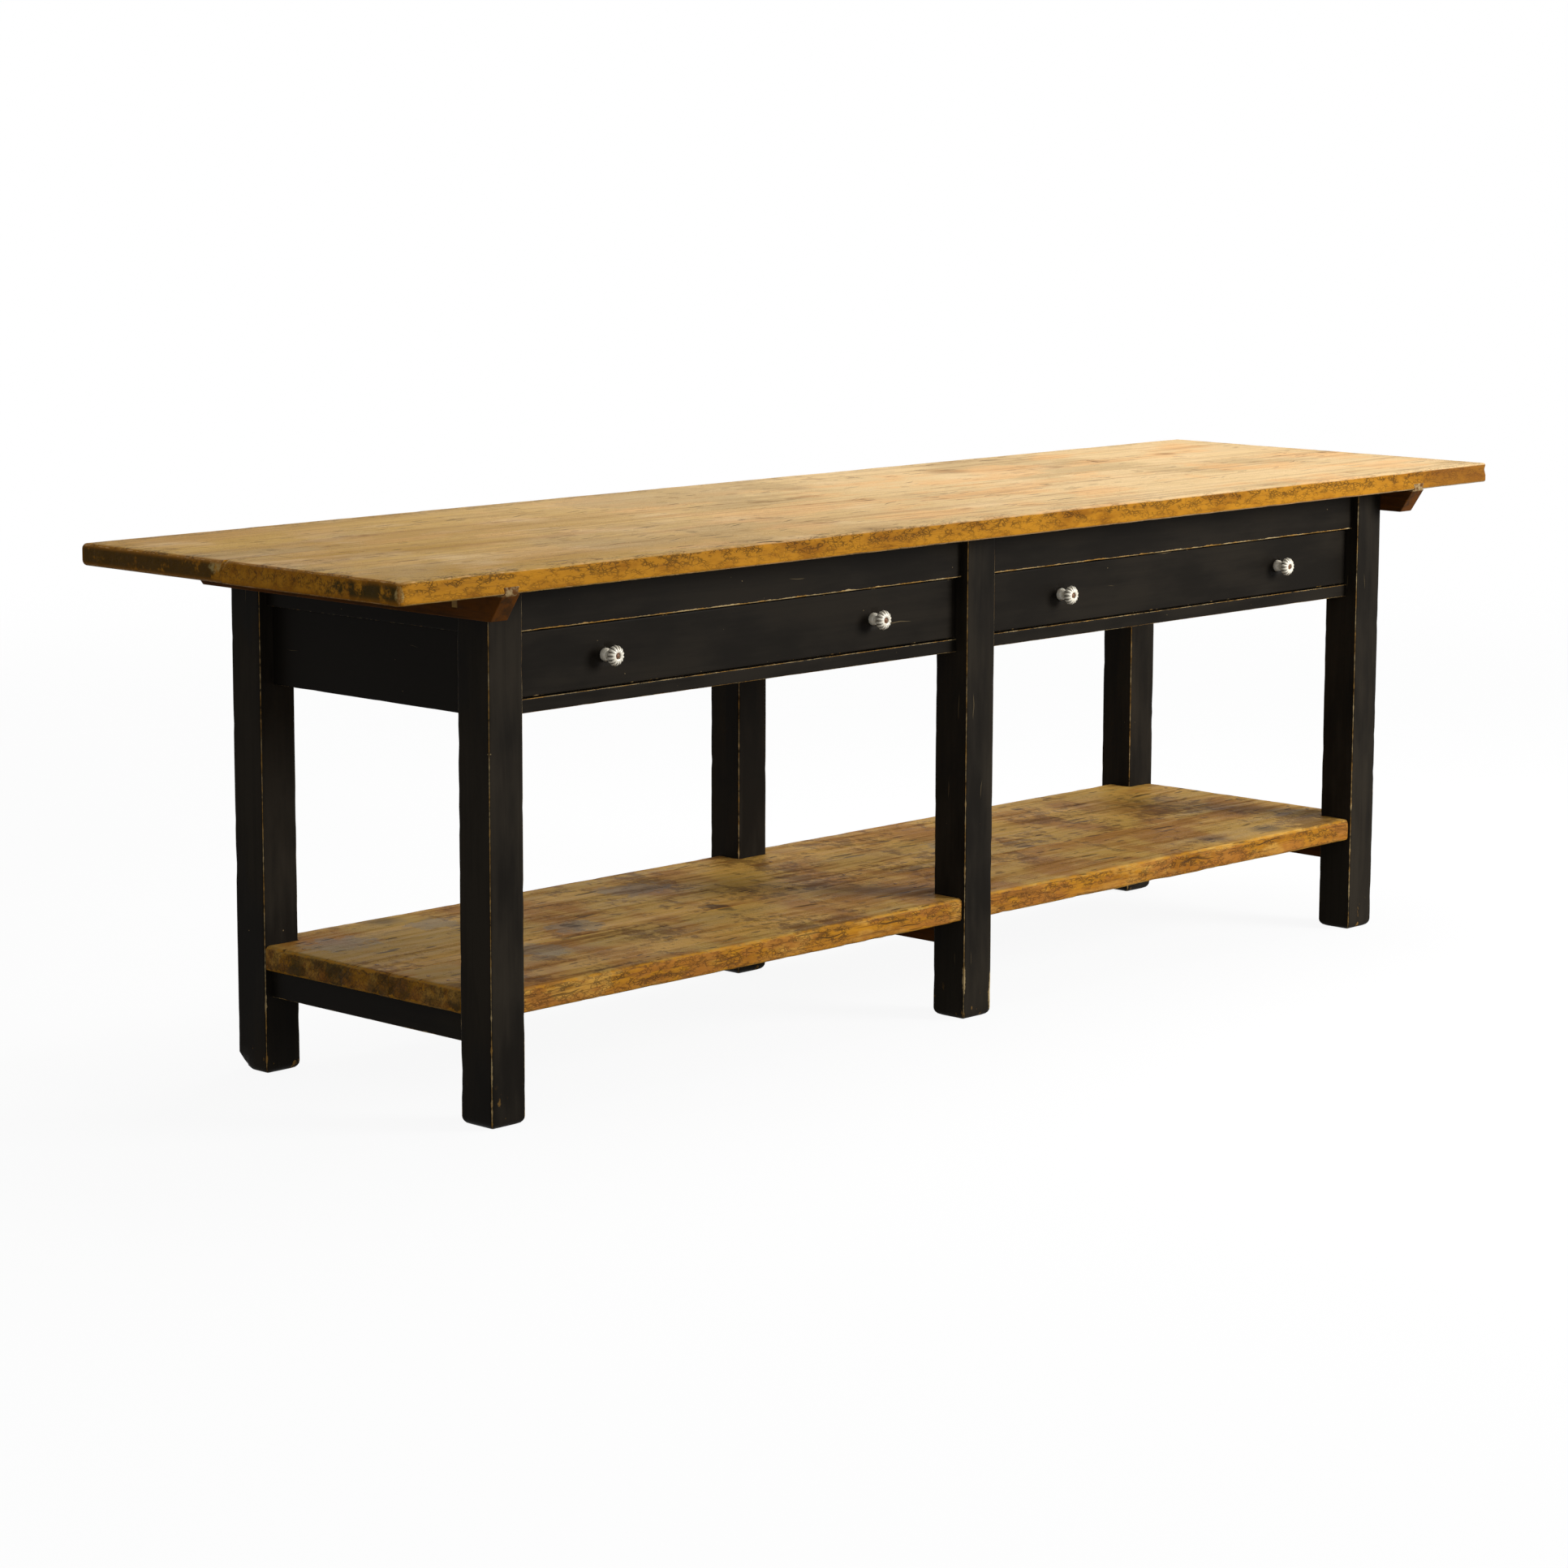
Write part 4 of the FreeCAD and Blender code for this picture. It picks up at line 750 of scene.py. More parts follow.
class Materials:
    """Every finish of the table."""

    def __init__(self, finish):
        groups = make_groups()
        self.top = top_pine(finish, groups)
        self.shelf = shelf_pine(finish, groups)
        # Lit and shaded copies of one black paint: the legs get many lighter scuffs as painted light, the
        # aprons under the top few as painted shade.
        self.lit_leg_paint = black_paint(finish, groups, "black_paint_legs", 0.0022, 0.60, 0.90)
        self.rail_paint = black_paint(finish, groups, "black_paint_rails", 0.0016, 0.61, 0.50)
        self.upper_rail_paint = black_paint(finish, groups, "black_paint_upper_rails", 0.0027, 0.74, 0.50)
        self.shaded_apron_paint = black_paint(finish, groups, "black_paint_aprons", 0.0022, 0.42, 0.05)
        self.stain = brown_stain(finish, groups)
        self.pine_along_x = inner_pine(finish, groups, "bare_pine_along_length", "XYZ")
        self.pine_along_y = inner_pine(finish, groups, "bare_pine_along_depth", "YXZ")
        self.porcelain = knob_porcelain(finish, groups)
        self.rust = rusty_iron(finish, groups)


made = {}


def materials(context):
    """The finishes, made on first use and shared by all the operators."""
    if "materials" not in made:
        made["materials"] = Materials(context.scene.work_table_finish)
    return made["materials"]


# Meshes
def new_mesh(name, vertices, faces):
    mesh = bpy.data.meshes.new(name)
    mesh.from_pydata(vertices, [], faces)
    return mesh


def fine_steps(radius):
    """Distances from an edge at which a rounded board needs points."""
    if radius == 0:
        return [0.0]
    return [0.0, radius * (1 - math.tan(math.pi / 8)), radius, radius * 2.2, radius * 4.5]


def grid_lines(low, high, radii, spacing, extra=()):
    """Positions from low to high: close together at both ends, even between, with extra ones where asked."""
    steps = sorted({step for radius in radii for step in fine_steps(radius)})
    near = [step for step in steps if step < (high - low) * 0.45]
    first, last = low + near[-1], high - near[-1]
    pieces = max(1, round((last - first) / spacing))
    lines = [low + step for step in near] + [high - step for step in near]
    lines += [first + (last - first) * number / pieces for number in range(1, pieces)]
    for place in extra:
        lines = [line for line in lines if abs(line - place) > spacing * 0.2 or line in (low, high)]
        lines.append(place)
    return sorted(set(lines))


def skin(xs, ys, zs, kept):
    """A closed skin of quads round the kept cells of a grid."""
    vertices = []
    faces = []
    numbers = {}

    def corner(i, j, k):
        if (i, j, k) not in numbers:
            numbers[i, j, k] = len(vertices)
            vertices.append(Vector((xs[i], ys[j], zs[k])))
        return numbers[i, j, k]

    def filled(i, j):
        return 0 <= i < len(xs) - 1 and 0 <= j < len(ys) - 1 and kept(i, j)

    top = len(zs) - 1
    for i in range(len(xs) - 1):
        for j in range(len(ys) - 1):
            if not filled(i, j):
                continue
            loop = ((i, j), (i + 1, j), (i + 1, j + 1), (i, j + 1))
            faces.append([corner(*spot, top) for spot in loop])
            faces.append([corner(*spot, 0) for spot in reversed(loop)])
            beyond = ((i, j - 1), (i + 1, j), (i, j + 1), (i - 1, j))
            for start, end, neighbour in zip(loop, (*loop[1:], loop[0]), beyond):
                if filled(*neighbour):
                    continue
                for k in range(top):
                    below = [corner(*start, k), corner(*end, k)]
                    faces.append([*below, corner(*end, k + 1), corner(*start, k + 1)])
    return vertices, faces


class Board:
    """A worn board or post: a box with rounded edges on its named walls, hollowed, ragged and nicked."""

    def __init__(self, low, high, grain, walls, upper=0.0, lower=0.0, corners=None, seed=0.0):
        self.low = low
        self.high = high
        self.grain = grain
        self.walls = walls
        self.upper = upper
        self.lower = lower
        self.corners = corners or {}
        self.shift = Vector((seed * 7.31, seed * 3.17, seed * 5.83))
        self.face_wear = 0.0
        self.edge_wear = 0.0
        self.foot = 0.0
        self.nicks = []

    def wall_distances(self, point):
        """How far a point lies inside the nearest rounded wall on each level axis, and which wall that is."""
        found = []
        for axis, name in enumerate("xy"):
            options = [(FAR, 0)]
            if f"-{name}" in self.walls:
                options.append((point[axis] - self.low[axis], -1))
            if f"+{name}" in self.walls:
                options.append((self.high[axis] - point[axis], 1))
            found.append(min(options))
        return found

    def arris(self, point):
        """Distance along the surface to the nearest edge."""
        (sx, _), (sy, _) = self.wall_distances(point)
        heights = [FAR]
        if self.upper:
            heights.append(self.high.z - point.z)
        if self.lower:
            heights.append(point.z - self.low.z)
        return max(0.0, sorted((sx, sy, min(heights)))[1])

    def rounded(self, point):
        """Where a point of the sharp box goes when its edges are rounded."""
        (sx, side_x), (sy, side_y) = self.wall_distances(point)
        inward = min(sx, sy)
        settled = inward
        height = point.z
        edges = ((self.upper, self.high.z - point.z, -1), (self.lower, point.z - self.low.z, 1))
        for radius, drop, sign in edges:
            if radius and inward < radius and drop < radius:
                out = Vector((radius - inward, radius - drop))
                out *= radius / out.length
                settled = radius - out.x
                height = point.z + sign * (radius - out.y - drop)
        moved = Vector((point.x, point.y, height))
        corner = self.corners.get((side_x, side_y), 0.0)
        if corner and sx < corner and sy < corner:
            out = Vector((corner - sx, corner - sy)).normalized() * (corner - settled)
            moved.x -= side_x * (corner - out.x - sx)
            moved.y -= side_y * (corner - out.y - sy)
        elif settled != inward and sx <= sy:
            moved.x -= side_x * (settled - inward)
        elif settled != inward:
            moved.y -= side_y * (settled - inward)
        return moved

    def footed(self, point):
        """Draws the section in towards the underside of a foot."""
        rise = point.z - self.low.z
        if not self.foot or rise >= self.foot:
            return point
        inset = self.foot - math.sqrt(self.foot ** 2 - (self.foot - rise) ** 2)
        middle = (self.low + self.high) / 2
        half = (self.high.x - self.low.x) / 2
        scale = (half - inset) / half
        drawn_in = middle + (point - middle) * scale
        return Vector((drawn_in.x, drawn_in.y, point.z))

    def worn(self, point, arris):
        """Moves a point inward by the hollows, the ragged edges and the nicks."""
        core = [min(WEAR_DEPTH, (b - a) * 0.45) for a, b in zip(self.low, self.high)]
        inner = Vector([min(max(v, a + c), b - c) for v, a, b, c in zip(point, self.low, self.high, core)])
        inward = inner - point
        if inward.length < ONE_POINT:
            return point
        seeded = point + self.shift
        hollow = self.face_wear * (0.5 + 0.5 * noise.noise(seeded * 9.0))
        bite = max(0.0, noise.noise(seeded * 24.0) + 0.5 * noise.noise(seeded * 70.0) - 0.12)
        depth = hollow + self.edge_wear * bite * math.exp(-arris / RAGGED_REACH)
        for place, radius, deep in self.nicks:
            gap = (point - place).length / radius
            if gap < 1:
                depth += deep * (1 - gap * gap) ** 2
        return point + inward.normalized() * min(depth, inward.length)

    def grain_place(self, point):
        order = ["xyz".index(letter) for letter in self.grain]
        return Vector([point[axis] for axis in order]) + self.shift

    def build(self, name, spacing, notches=()):
        """The board's mesh, with each point's place along the grain and distance to an edge."""
        arrises = {self.upper, self.lower}
        lines = []
        for axis, letter in enumerate("xyz"):
            walled = f"-{letter}" in self.walls or f"+{letter}" in self.walls
            radii = arrises | set(self.corners.values()) if walled else {0.0}
            if letter == "z":
                radii = arrises
            extra = [edge for low, high in notches for edge in (low[axis], high[axis])
                     if letter != "z" and self.low[axis] < edge < self.high[axis]]
            if letter == "z" and self.foot:
                turns = (math.radians(angle) for angle in range(18, 91, 18))
                extra = [self.low.z + self.foot * (1 - math.cos(turn)) for turn in turns]
            lines.append(grid_lines(self.low[axis], self.high[axis], radii, spacing, extra))
        xs, ys, zs = lines

        def kept(i, j):
            x, y = (xs[i] + xs[i + 1]) / 2, (ys[j] + ys[j + 1]) / 2
            return not any(low.x < x < high.x and low.y < y < high.y for low, high in notches)

        points, faces = skin(xs, ys, zs, kept)
        edges = [self.arris(point) for point in points]
        grains = [self.grain_place(point) for point in points]
        shaped = [self.footed(self.worn(self.rounded(point), edge)) for point, edge in zip(points, edges)]
        mesh = new_mesh(name, shaped, faces)
        write_attributes(mesh, grains, edges)
        return mesh


def write_attributes(mesh, grains, edges):
    """Keeps each point's place along the grain and its distance to an edge with the mesh."""
    grain = mesh.attributes.new("grain", "FLOAT_VECTOR", "POINT")
    grain.data.foreach_set("vector", [number for place in grains for number in place])
    arris = mesh.attributes.new("arris", "FLOAT", "POINT")
    arris.data.foreach_set("value", edges)


def add_piece(name, mesh, material, *nodes):
    """Puts a finished mesh in the scene in place of its CAD nodes, on their body and with the given material.
    """
    mesh.polygons.foreach_set("use_smooth", [True] * len(mesh.polygons))
    mesh.set_sharp_from_angle(angle=SHARP_ANGLE)
    mesh.materials.append(material)
    piece = bpy.data.objects.new(name, mesh)
    bpy.context.scene.collection.objects.link(piece)
    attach(piece, NODE_BODY[nodes[0]])
    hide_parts(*nodes)


def eased_copy(node, spacing, radius, grain, seed, chosen):
    """A node's solid with its chosen sharp edges rounded and its faces divided, for pieces with joints."""
    shape = bmesh.new()
    shape.from_mesh(frame["nodes"][node].data)
    bmesh.ops.remove_doubles(shape, verts=shape.verts, dist=ONE_POINT)
    bmesh.ops.dissolve_limit(shape, angle_limit=math.radians(1), verts=shape.verts, edges=shape.edges)
    folds = [edge for edge in shape.edges if edge.is_manifold and edge.calc_face_angle() > SHARP_ANGLE]
    sharp = [edge for edge in folds if chosen(edge)]
    ends = [tuple(vertex.co.copy() for vertex in edge.verts) for edge in sharp]
    bmesh.ops.bevel(
        shape, geom=sharp, offset=radius, segments=3, profile=0.5, affect="EDGES", clamp_overlap=False)
    low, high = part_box(node)
    for axis in range(3):
        direction = Vector([float(axis == number) for number in range(3)])
        for place in grid_lines(low[axis], high[axis], {radius}, spacing)[1:-1]:
            bmesh.ops.bisect_plane(
                shape, geom=[*shape.verts, *shape.edges, *shape.faces], dist=ONE_POINT,
                plane_co=direction * place, plane_no=direction)
    bmesh.ops.triangulate(shape, faces=[face for face in shape.faces if len(face.verts) > 4])
    mesh = bpy.data.meshes.new(node)
    shape.to_mesh(mesh)
    shape.free()
    board = Board(low, high, grain, (), seed=seed)
    points = [vertex.co for vertex in mesh.vertices]
    write_attributes(mesh, [board.grain_place(point) for point in points], distances(points, ends))
    return mesh


def distances(points, segments):
    """How far each point lies from the nearest of some straight edges."""
    step = 0.002
    samples = []
    for start, end in segments:
        pieces = max(1, round((end - start).length / step))
        samples += [start.lerp(end, number / pieces) for number in range(pieces + 1)]
    tree = kdtree.KDTree(len(samples))
    for number, sample in enumerate(samples):
        tree.insert(sample, number)
    tree.balance()
    return [tree.find(point)[2] for point in points]


def turned(rings, segments, radius_at=None):
    """A solid turned about the drawer's outward direction; rings are its centres and radii in order."""
    vertices = []
    faces = []
    for ring, (centre, radius) in enumerate(rings):
        for number in range(segments):
            turn = math.tau * number / segments
            out = radius_at(radius, ring, turn) if radius_at else radius
            vertices.append(centre + Vector((math.cos(turn) * out, 0, math.sin(turn) * out)))
    for ring in range(len(rings) - 1):
        for number in range(segments):
            after = (number + 1) % segments
            a, b = ring * segments, (ring + 1) * segments
            faces.append([a + number, a + after, b + after, b + number])
    faces.append(list(reversed(range(segments))))
    faces.append(list(range((len(rings) - 1) * segments, len(rings) * segments)))
    return vertices, faces


# Pieces
class MakeTop(bpy.types.Operator):
    """Two wide pine boards, scrubbed pale and paler still to the right with painted light, with crackled
    varnish on their edges and worn corners
    """
    bl_idname = "work_table.make_top"
    bl_label = "Make the Top"

    def execute(self, context):
        shape = context.scene.work_table_shape
        crisp = shape.top_round * 1.1
        plans = {
            "front": ({"-x", "+x", "-y"}, shape.top_round, shape.top_round * 0.7,
                      {(-1, -1): shape.top_front_corner, (1, -1): crisp}),
            "back": ({"-x", "+x", "+y"}, shape.top_back_round, shape.top_back_round,
                     {(-1, 1): shape.top_back_corner, (1, 1): crisp}),
        }
        left_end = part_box("top_board_front")[0].x
        for seed, (row, (walls, upper, lower, corners)) in enumerate(plans.items()):
            node = f"top_board_{row}"
            low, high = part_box(node)
            low.x = left_end
            board = Board(low, high, "xyz", walls, upper, lower, corners, seed * 0.37)
            board.face_wear = shape.face_wear
            board.edge_wear = shape.edge_wear * 0.6
            # Place, reach and depth of the bruises on the front board's corners
            if row == "front":
                board.nicks = [
                    (Vector((low.x, low.y, high.z)), 0.022, 0.004),
                    (Vector((low.x, high.y, high.z)), 0.016, 0.005),
                    (Vector((high.x, low.y, high.z - 0.012)), 0.012, 0.003),
                ]
            add_piece(f"{row}_top_board", board.build(node, shape.board_step), materials(context).top, node)
        return {"FINISHED"}


class MakeBattens(bpy.types.Operator):
    """Two brown battens under the top, slid in by dovetail tongues whose ends show in the edge"""
    bl_idname = "work_table.make_battens"
    bl_label = "Make the Battens"

    def execute(self, context):
        shape = context.scene.work_table_shape
        for seed, side in enumerate(SIDES, 3):
            node = f"top_batten_{side}"
            mesh = eased_copy(
                node, shape.joint_step, shape.batten_round, "yxz", seed, lambda edge: edge.is_convex)
            add_piece(f"{side}_batten", mesh, materials(context).stain, node)
        return {"FINISHED"}


class MakeShelf(bpy.types.Operator):
    """Two thick, badly worn boards notched round the six legs"""
    bl_idname = "work_table.make_shelf"
    bl_label = "Make the Shelf"

    def execute(self, context):
        shape = context.scene.work_table_shape
        room = Vector((shape.notch_ease, shape.notch_ease, 0))
        notches = []
        for row in ROWS:
            for place in PLACES:
                low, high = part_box(f"leg_{row}_{place}")
                notches.append((low - room, high + room))
        plans = {"front": {"-x", "+x", "-y"}, "back": {"-x", "+x", "+y"}}
        for seed, (row, walls) in enumerate(plans.items(), 5):
            node = f"shelf_board_{row}"
            low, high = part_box(node)
            board = Board(low, high, "xyz", walls, shape.shelf_round, shape.shelf_round * 0.6, seed=seed)
            board.face_wear = shape.face_wear * 1.6
            board.edge_wear = shape.edge_wear * 1.2
            mesh = board.build(node, shape.board_step, notches)
            add_piece(f"{row}_shelf_board", mesh, materials(context).shelf, node)
        return {"FINISHED"}


def board_between(context, node, name, legs, axis, seed, material):
    """A rail, apron or bearer without its tenons: from one leg to another, seated a little in both."""
    shape = context.scene.work_table_shape
    low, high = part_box(node)
    low[axis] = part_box(legs[0])[1][axis] - SEAT
    high[axis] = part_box(legs[1])[0][axis] + SEAT
    grain = ("xyz", "yxz")[axis]
    walls = ({"-y", "+y"}, {"-x", "+x"})[axis]
    board = Board(low, high, grain, walls, shape.rail_round, shape.rail_round, seed=seed)
    board.face_wear = shape.face_wear * 0.4
    board.edge_wear = shape.edge_wear * 0.35
    add_piece(name, board.build(node, shape.board_step), material, node)


class MakeBearers(bpy.types.Operator):
    """Three bearers from front leg to back leg, which carry the shelf"""
    bl_idname = "work_table.make_bearers"
    bl_label = "Make the Bearers"

    def execute(self, context):
        finishes = materials(context)
        coats = {"left": finishes.rail_paint, "middle": finishes.stain, "right": finishes.stain}
        for seed, (place, material) in enumerate(coats.items(), 8):
            legs = (f"leg_front_{place}", f"leg_back_{place}")
            board_between(context, f"shelf_bearer_{place}", f"{place}_bearer", legs, 1, seed, material)
        return {"FINISHED"}


class MakeRails(bpy.types.Operator):
    """Rails and aprons round the frame, painted black and worn along their edges"""
    bl_idname = "work_table.make_rails"
    bl_label = "Make the Rails"

    def execute(self, context):
        finishes = materials(context)
        spans = {"left": ("left", "middle"), "right": ("middle", "right")}
        long_rails = (
            ("front_upper_rail", "front", finishes.upper_rail_paint),
            ("front_lower_rail", "front", finishes.rail_paint),
            ("back_apron", "back", finishes.shaded_apron_paint),
        )
        seed = 12
        for side, (first, last) in spans.items():
            for kind, row, paint in long_rails:
                legs = (f"leg_{row}_{first}", f"leg_{row}_{last}")
                board_between(context, f"{kind}_{side}", f"{side}_{kind}", legs, 0, seed, paint)
                seed += 1
            for kind in ("end_upper_rail", "end_apron"):
                legs = (f"leg_front_{side}", f"leg_back_{side}")
                paint = finishes.shaded_apron_paint
                board_between(context, f"{kind}_{side}", f"{side}_{kind}", legs, 1, seed, paint)
                seed += 1
        return {"FINISHED"}


class MakeLegs(bpy.types.Operator):
    """Six square posts with rounded feet, painted black, chipped at the foot and worn along their edges"""
    bl_idname = "work_table.make_legs"
    bl_label = "Make the Legs"

    def execute(self, context):
        shape = context.scene.work_table_shape
        corners = {(x, y): shape.leg_round for x in (-1, 1) for y in (-1, 1)}
        seed = 24
        for row in ROWS:
            for place in PLACES:
                node = f"leg_{row}_{place}"
                low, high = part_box(node)
                leg = Board(low, high, "zxy", {"-x", "+x", "-y", "+y"}, corners=corners, seed=seed)
                leg.face_wear = shape.face_wear
                leg.edge_wear = shape.edge_wear * 0.6
                leg.foot = shape.foot_round
                # The back left foot has lost its outer corner
                if (row, place) == ("back", "left"):
                    leg.nicks = [(Vector((low.x, high.y, low.z)), 0.026, 0.016)]
                mesh = leg.build(node, shape.board_step)
                add_piece(f"{row}_{place}_leg", mesh, materials(context).lit_leg_paint, node)
                seed += 1
        return {"FINISHED"}


class MakeDrawerFronts(bpy.types.Operator):
    """Two painted drawer fronts, dovetailed to their sides and worn along their edges"""
    bl_idname = "work_table.make_drawer_fronts"
    bl_label = "Make the Drawer Fronts"

    def execute(self, context):
        shape = context.scene.work_table_shape
        for seed, side in enumerate(SIDES, 31):
            node = f"{side}_drawer_front"
            low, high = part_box(node)

            def on_rim(edge):
                faced = all(abs(vertex.co.y - low.y) < ON_FACE for vertex in edge.verts)
                outer = any(
                    all(abs(vertex.co[axis] - limit[axis]) < ON_FACE for vertex in edge.verts)
                    for axis in (0, 2) for limit in (low, high))
                return faced and outer

            mesh = eased_copy(node, shape.joint_step, shape.rail_round, "xyz", seed, on_rim)
            add_piece(f"{side}_drawer_face", mesh, materials(context).rail_paint, node)
        return {"FINISHED"}


def along_axis(centre, depth):
    """The point that far out of the drawer's face."""
    return Vector((centre.x, centre.y - depth, centre.z))


def knob_mesh(settings, name, foot, neck, radius, depth):
    """A lobed knob: a waisted neck, a flat back, and a low dome in to the face round the bolt's recess."""
    belly = depth * settings.belly
    back = depth * settings.neck
    face = settings.recess * 1.25
    quarter = [math.radians(90) * number / 10 for number in range(11)]
    rings = []
    for part in (0.0, 0.25, 0.5, 0.75):
        rings.append((back * part, neck * (1 - 0.12 * math.sin(math.pi * part)), 0.0))
    for turn in quarter:
        height = back + (belly - back) * (1 - math.cos(turn))
        rings.append((height, neck + (radius - neck) * math.sin(turn), math.sin(turn)))
    for turn in quarter[1:]:
        height = belly + (depth - belly) * math.sin(turn)
        size = face + (radius - face) * math.cos(turn) ** settings.taper
        rings.append((height, size, math.cos(turn) ** 0.6))
    rings.append((depth - settings.recess_depth * 0.2, settings.recess, 0.0))
    rings.append((depth - settings.recess_depth, settings.recess * 0.94, 0.0))
    rings.append((depth - settings.recess_depth, settings.bore, 0.0))
    segments = settings.lobes * 12

    def dent(turn):
        return 1 - abs(math.sin(turn * settings.lobes / 2))

    def lobed(size, ring, turn):
        return size - settings.crease * rings[ring][2] * dent(turn)

    circles = [(along_axis(foot, height), size) for height, size, _ in rings]
    mesh = new_mesh(name, *turned(circles, segments, lobed))
    crease = mesh.attributes.new("crease", "FLOAT", "POINT")
    turns = [math.tau * number / segments for number in range(segments)]
    crease.data.foreach_set("value", [ring[2] * dent(turn) for ring in rings for turn in turns])
    return mesh


def joined(name, meshes):
    """One mesh of several, with the crease attribute kept where there is one."""
    whole = bmesh.new()
    for mesh in meshes:
        whole.from_mesh(mesh)
    result = bpy.data.meshes.new(name)
    whole.to_mesh(result)
    whole.free()
    for mesh in meshes:
        bpy.data.meshes.remove(mesh)
    return result


def rose_mesh(base, radius, thick, bore):
    """A domed disc, flat against the drawer."""
    rings = [(along_axis(base, 0.0), radius * 0.97)]
    for number in range(9):
        angle = math.radians(90) * number / 8
        height = thick * (0.15 + 0.85 * math.sin(angle))
        rings.append((along_axis(base, height), radius * (0.55 + 0.45 * math.cos(angle))))
    rings.append((along_axis(base, thick), bore))
    return new_mesh("rose", *turned(rings, 64))


def bolt_mesh(settings, tail, reach):
    """A domed bolt head on its shank, from the tail inside the drawer out to the head."""
    head = reach - settings.bolt_dome
    shank = settings.bolt_shank
    sizes = ((0.0, shank * 0.8), (0.0006, shank), (head, shank))
    rings = [(along_axis(tail, height), size) for height, size in sizes]
    for number in range(7):
        angle = math.radians(84) * number / 6
        height = head + settings.bolt_dome * math.sin(angle)
        rings.append((along_axis(tail, height), settings.bolt_head * math.cos(angle)))
    return new_mesh("bolt", *turned(rings, 40))


class MakeKnobs(bpy.types.Operator):
    """Lobed porcelain knobs on small domed roses, bolted through the drawer fronts"""
    bl_idname = "work_table.make_knobs"
    bl_label = "Make the Knobs"

    def execute(self, context):
        settings = context.scene.work_table_knobs
        finishes = materials(context)
        for side in SIDES:
            nodes = {kind: f"{side}_drawer_{kind}" for kind in ("knobs", "knob_roses", "knob_bolts")}
            low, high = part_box(nodes["knobs"])
            rose_low, rose_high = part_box(nodes["knob_roses"])
            bolt_low, bolt_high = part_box(nodes["knob_bolts"])
            radius = (high.z - low.z) / 2
            rose_radius = (rose_high.z - rose_low.z) / 2
            meshes = {kind: [] for kind in nodes}
            for x in (low.x + radius, high.x - radius):
                middle = Vector((x, high.y, (low.z + high.z) / 2))
                meshes["knobs"].append(
                    knob_mesh(settings, nodes["knobs"], middle, rose_radius * 0.62, radius, high.y - low.y))
                base = Vector((x, rose_high.y, middle.z))
                thick = rose_high.y - rose_low.y
                meshes["knob_roses"].append(rose_mesh(base, rose_radius, thick, settings.bore))
                tail = Vector((x, bolt_high.y, middle.z))
                meshes["knob_bolts"].append(bolt_mesh(settings, tail, bolt_high.y - bolt_low.y))
            for kind, pair in meshes.items():
                material = finishes.rust if kind == "knob_bolts" else finishes.porcelain
                add_piece(f"{side}_{kind}", joined(nodes[kind], pair), material, nodes[kind])
        return {"FINISHED"}


class FinishHiddenPieces(bpy.types.Operator):
    """Bare pine and rusty iron for the pieces inside, which keep their CAD shape"""
    bl_idname = "work_table.finish_hidden_pieces"
    bl_label = "Finish the Hidden Pieces"

    def execute(self, context):
        finishes = materials(context)
        for node, piece in frame["nodes"].items():
            if piece.hide_render:
                continue
            slot = NODE_SLOT[node]
            if slot == "rusty_iron":
                material = finishes.rust
            elif node.endswith(("_back", "_bottom")) or node == "drawer_stops":
                material = finishes.pine_along_x
            else:
                material = finishes.pine_along_y
            piece.data.materials.clear()
            piece.data.materials.append(material)
        return {"FINISHED"}


# Stage
def background_share(sheet):
    """One for rays that see the background: from the camera, a reflection or through glass."""
    path = sheet.add("ShaderNodeLightPath", {}).outputs
    seen = sheet.total(path["Is Camera Ray"], path["Is Glossy Ray"])
    return sheet.math("MINIMUM", sheet.total(seen, path["Is Transmission Ray"]), 1.0)


def floor_material(stage):
    """White floor that keeps soft shadows, fades out into the backdrop and throws little light back."""
    material = bpy.data.materials.new("pale_floor")
    material.use_nodes = True
    tree = material.node_tree
    tree.nodes.clear()
    sheet = Sheet(tree)
    seen = background_share(sheet)
    tone = sheet.step(seen, 0.0, 1.0, stage.floor_bounce, 0.96)
    grey = sheet.add("ShaderNodeCombineColor", {"Red": tone, "Green": tone, "Blue": tone}).outputs["Color"]
    lit = sheet.add("ShaderNodeBsdfDiffuse", {"Color": grey}).outputs["BSDF"]
    glow = sheet.add("ShaderNodeEmission", {"Strength": 1.0}).outputs["Emission"]
    white = sheet.product(seen, stage.floor_glow)
    glowing = sheet.add("ShaderNodeMixShader", {0: white, 1: lit, 2: glow}).outputs[0]
    clear = sheet.add("ShaderNodeBsdfTransparent", {}).outputs["BSDF"]
    away = sheet.size(sheet.own_place())
    fade = sheet.step(away, stage.floor_radius * 0.3, stage.floor_radius * 0.95)
    mixed = sheet.add("ShaderNodeMixShader", {0: fade, 1: glowing, 2: clear}).outputs[0]
    sheet.add("ShaderNodeOutputMaterial", {"Surface": mixed})
    return material


def add_lamp(name, place, width, watts):
    """A round soft lamp, turned to the middle of the table."""
    lamp = bpy.data.lights.new(name, "AREA")
    lamp.shape = "DISK"
    lamp.size = width
    lamp.energy = watts
    holder = bpy.data.objects.new(name, lamp)
    holder.location = place
    holder.rotation_euler = (LIT_PLACE - place).to_track_quat("-Z", "Y").to_euler()
    bpy.context.scene.collection.objects.link(holder)


def set_world(stage):
    world = bpy.data.worlds.new("pale_backdrop")
    world.use_nodes = True
    sheet = Sheet(world.node_tree)
    background = world.node_tree.nodes["Background"]
    background.inputs["Color"].default_value = (1, 1, 1, 1)
    strength = sheet.step(background_share(sheet), 0.0, 1.0, stage.fill, 1.0)
    sheet.feed(background.inputs["Strength"], strength)
    bpy.context.scene.world = world


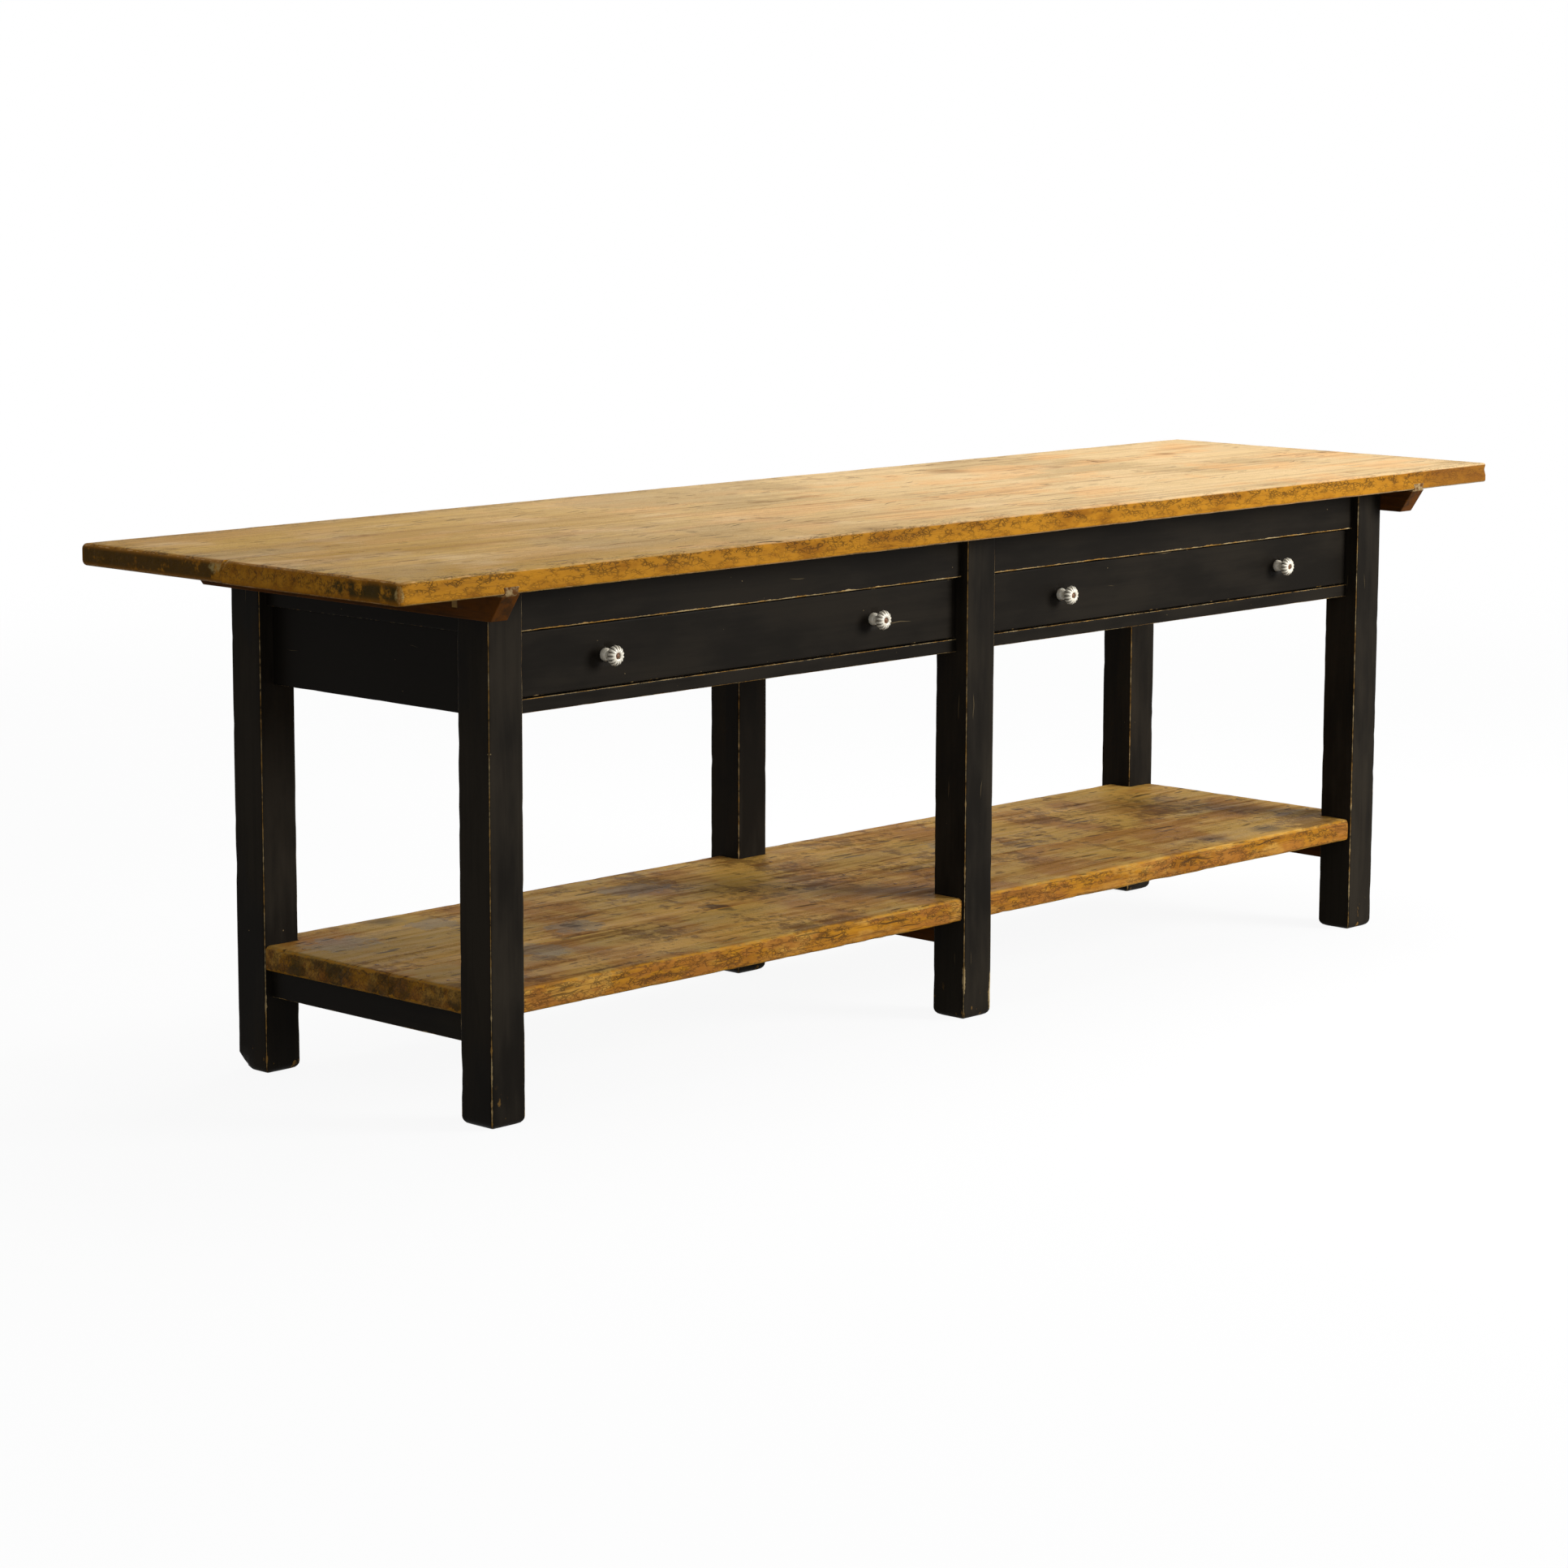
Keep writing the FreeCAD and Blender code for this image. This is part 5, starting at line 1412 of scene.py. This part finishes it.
def add_camera(stage):
    data = bpy.data.cameras.new("camera")
    data.lens = stage.lens
    pitch, roll, yaw = stage.camera_turn
    turn = Matrix.Rotation(yaw, 4, "Z")
    turn @= Matrix.Rotation(math.pi / 2 + pitch, 4, "X")
    turn @= Matrix.Rotation(roll, 4, "Z")
    camera = bpy.data.objects.new("camera", data)
    camera.matrix_world = Matrix.Translation(stage.camera_place) @ turn
    bpy.context.scene.collection.objects.link(camera)
    bpy.context.scene.camera = camera


class MakeStage(bpy.types.Operator):
    """Pale floor, soft lamps, white backdrop and the camera"""
    bl_idname = "work_table.make_stage"
    bl_label = "Make the Stage"

    def execute(self, context):
        stage = context.scene.work_table_stage
        context.scene.view_settings.view_transform = "Standard"
        shape = bmesh.new()
        bmesh.ops.create_circle(shape, cap_ends=True, segments=96, radius=stage.floor_radius)
        mesh = bpy.data.meshes.new("floor")
        shape.to_mesh(mesh)
        shape.free()
        mesh.materials.append(floor_material(stage))
        floor = bpy.data.objects.new("floor", mesh)
        context.scene.collection.objects.link(floor)
        for name, (place, width) in LAMPS.items():
            add_lamp(f"{name}_lamp", Vector(place), width, getattr(stage, f"{name}_power"))
        set_world(stage)
        add_camera(stage)
        return {"FINISHED"}


PIECE_OPERATORS = (
    MakeTop, MakeBattens, MakeShelf, MakeBearers, MakeRails, MakeLegs, MakeDrawerFronts, MakeKnobs,
    FinishHiddenPieces, MakeStage,
)


class WorkTablePanel(bpy.types.Panel):
    """Buttons that make the table, piece by piece"""
    bl_idname = "VIEW3D_PT_work_table"
    bl_label = "Work Table"
    bl_space_type = "VIEW_3D"
    bl_region_type = "UI"
    bl_category = "Work Table"

    def draw(self, context):
        column = self.layout.column(align=True)
        for operator in PIECE_OPERATORS:
            column.operator(operator.bl_idname)
        for name, kind in SETTINGS.items():
            box = self.layout.box()
            for setting in kind.__annotations__:
                box.prop(getattr(context.scene, name), setting)


def register():
    for kind in (*SETTINGS.values(), *PIECE_OPERATORS, WorkTablePanel):
        bpy.utils.register_class(kind)
    for name, kind in SETTINGS.items():
        setattr(bpy.types.Scene, name, bpy.props.PointerProperty(type=kind))


def unregister():
    for name in SETTINGS:
        delattr(bpy.types.Scene, name)
    for kind in reversed((*SETTINGS.values(), *PIECE_OPERATORS, WorkTablePanel)):
        bpy.utils.unregister_class(kind)


def main():
    register()
    for operator in PIECE_OPERATORS:
        family, name = operator.bl_idname.split(".")
        getattr(getattr(bpy.ops, family), name)()


if __name__ == "__main__":
    main()
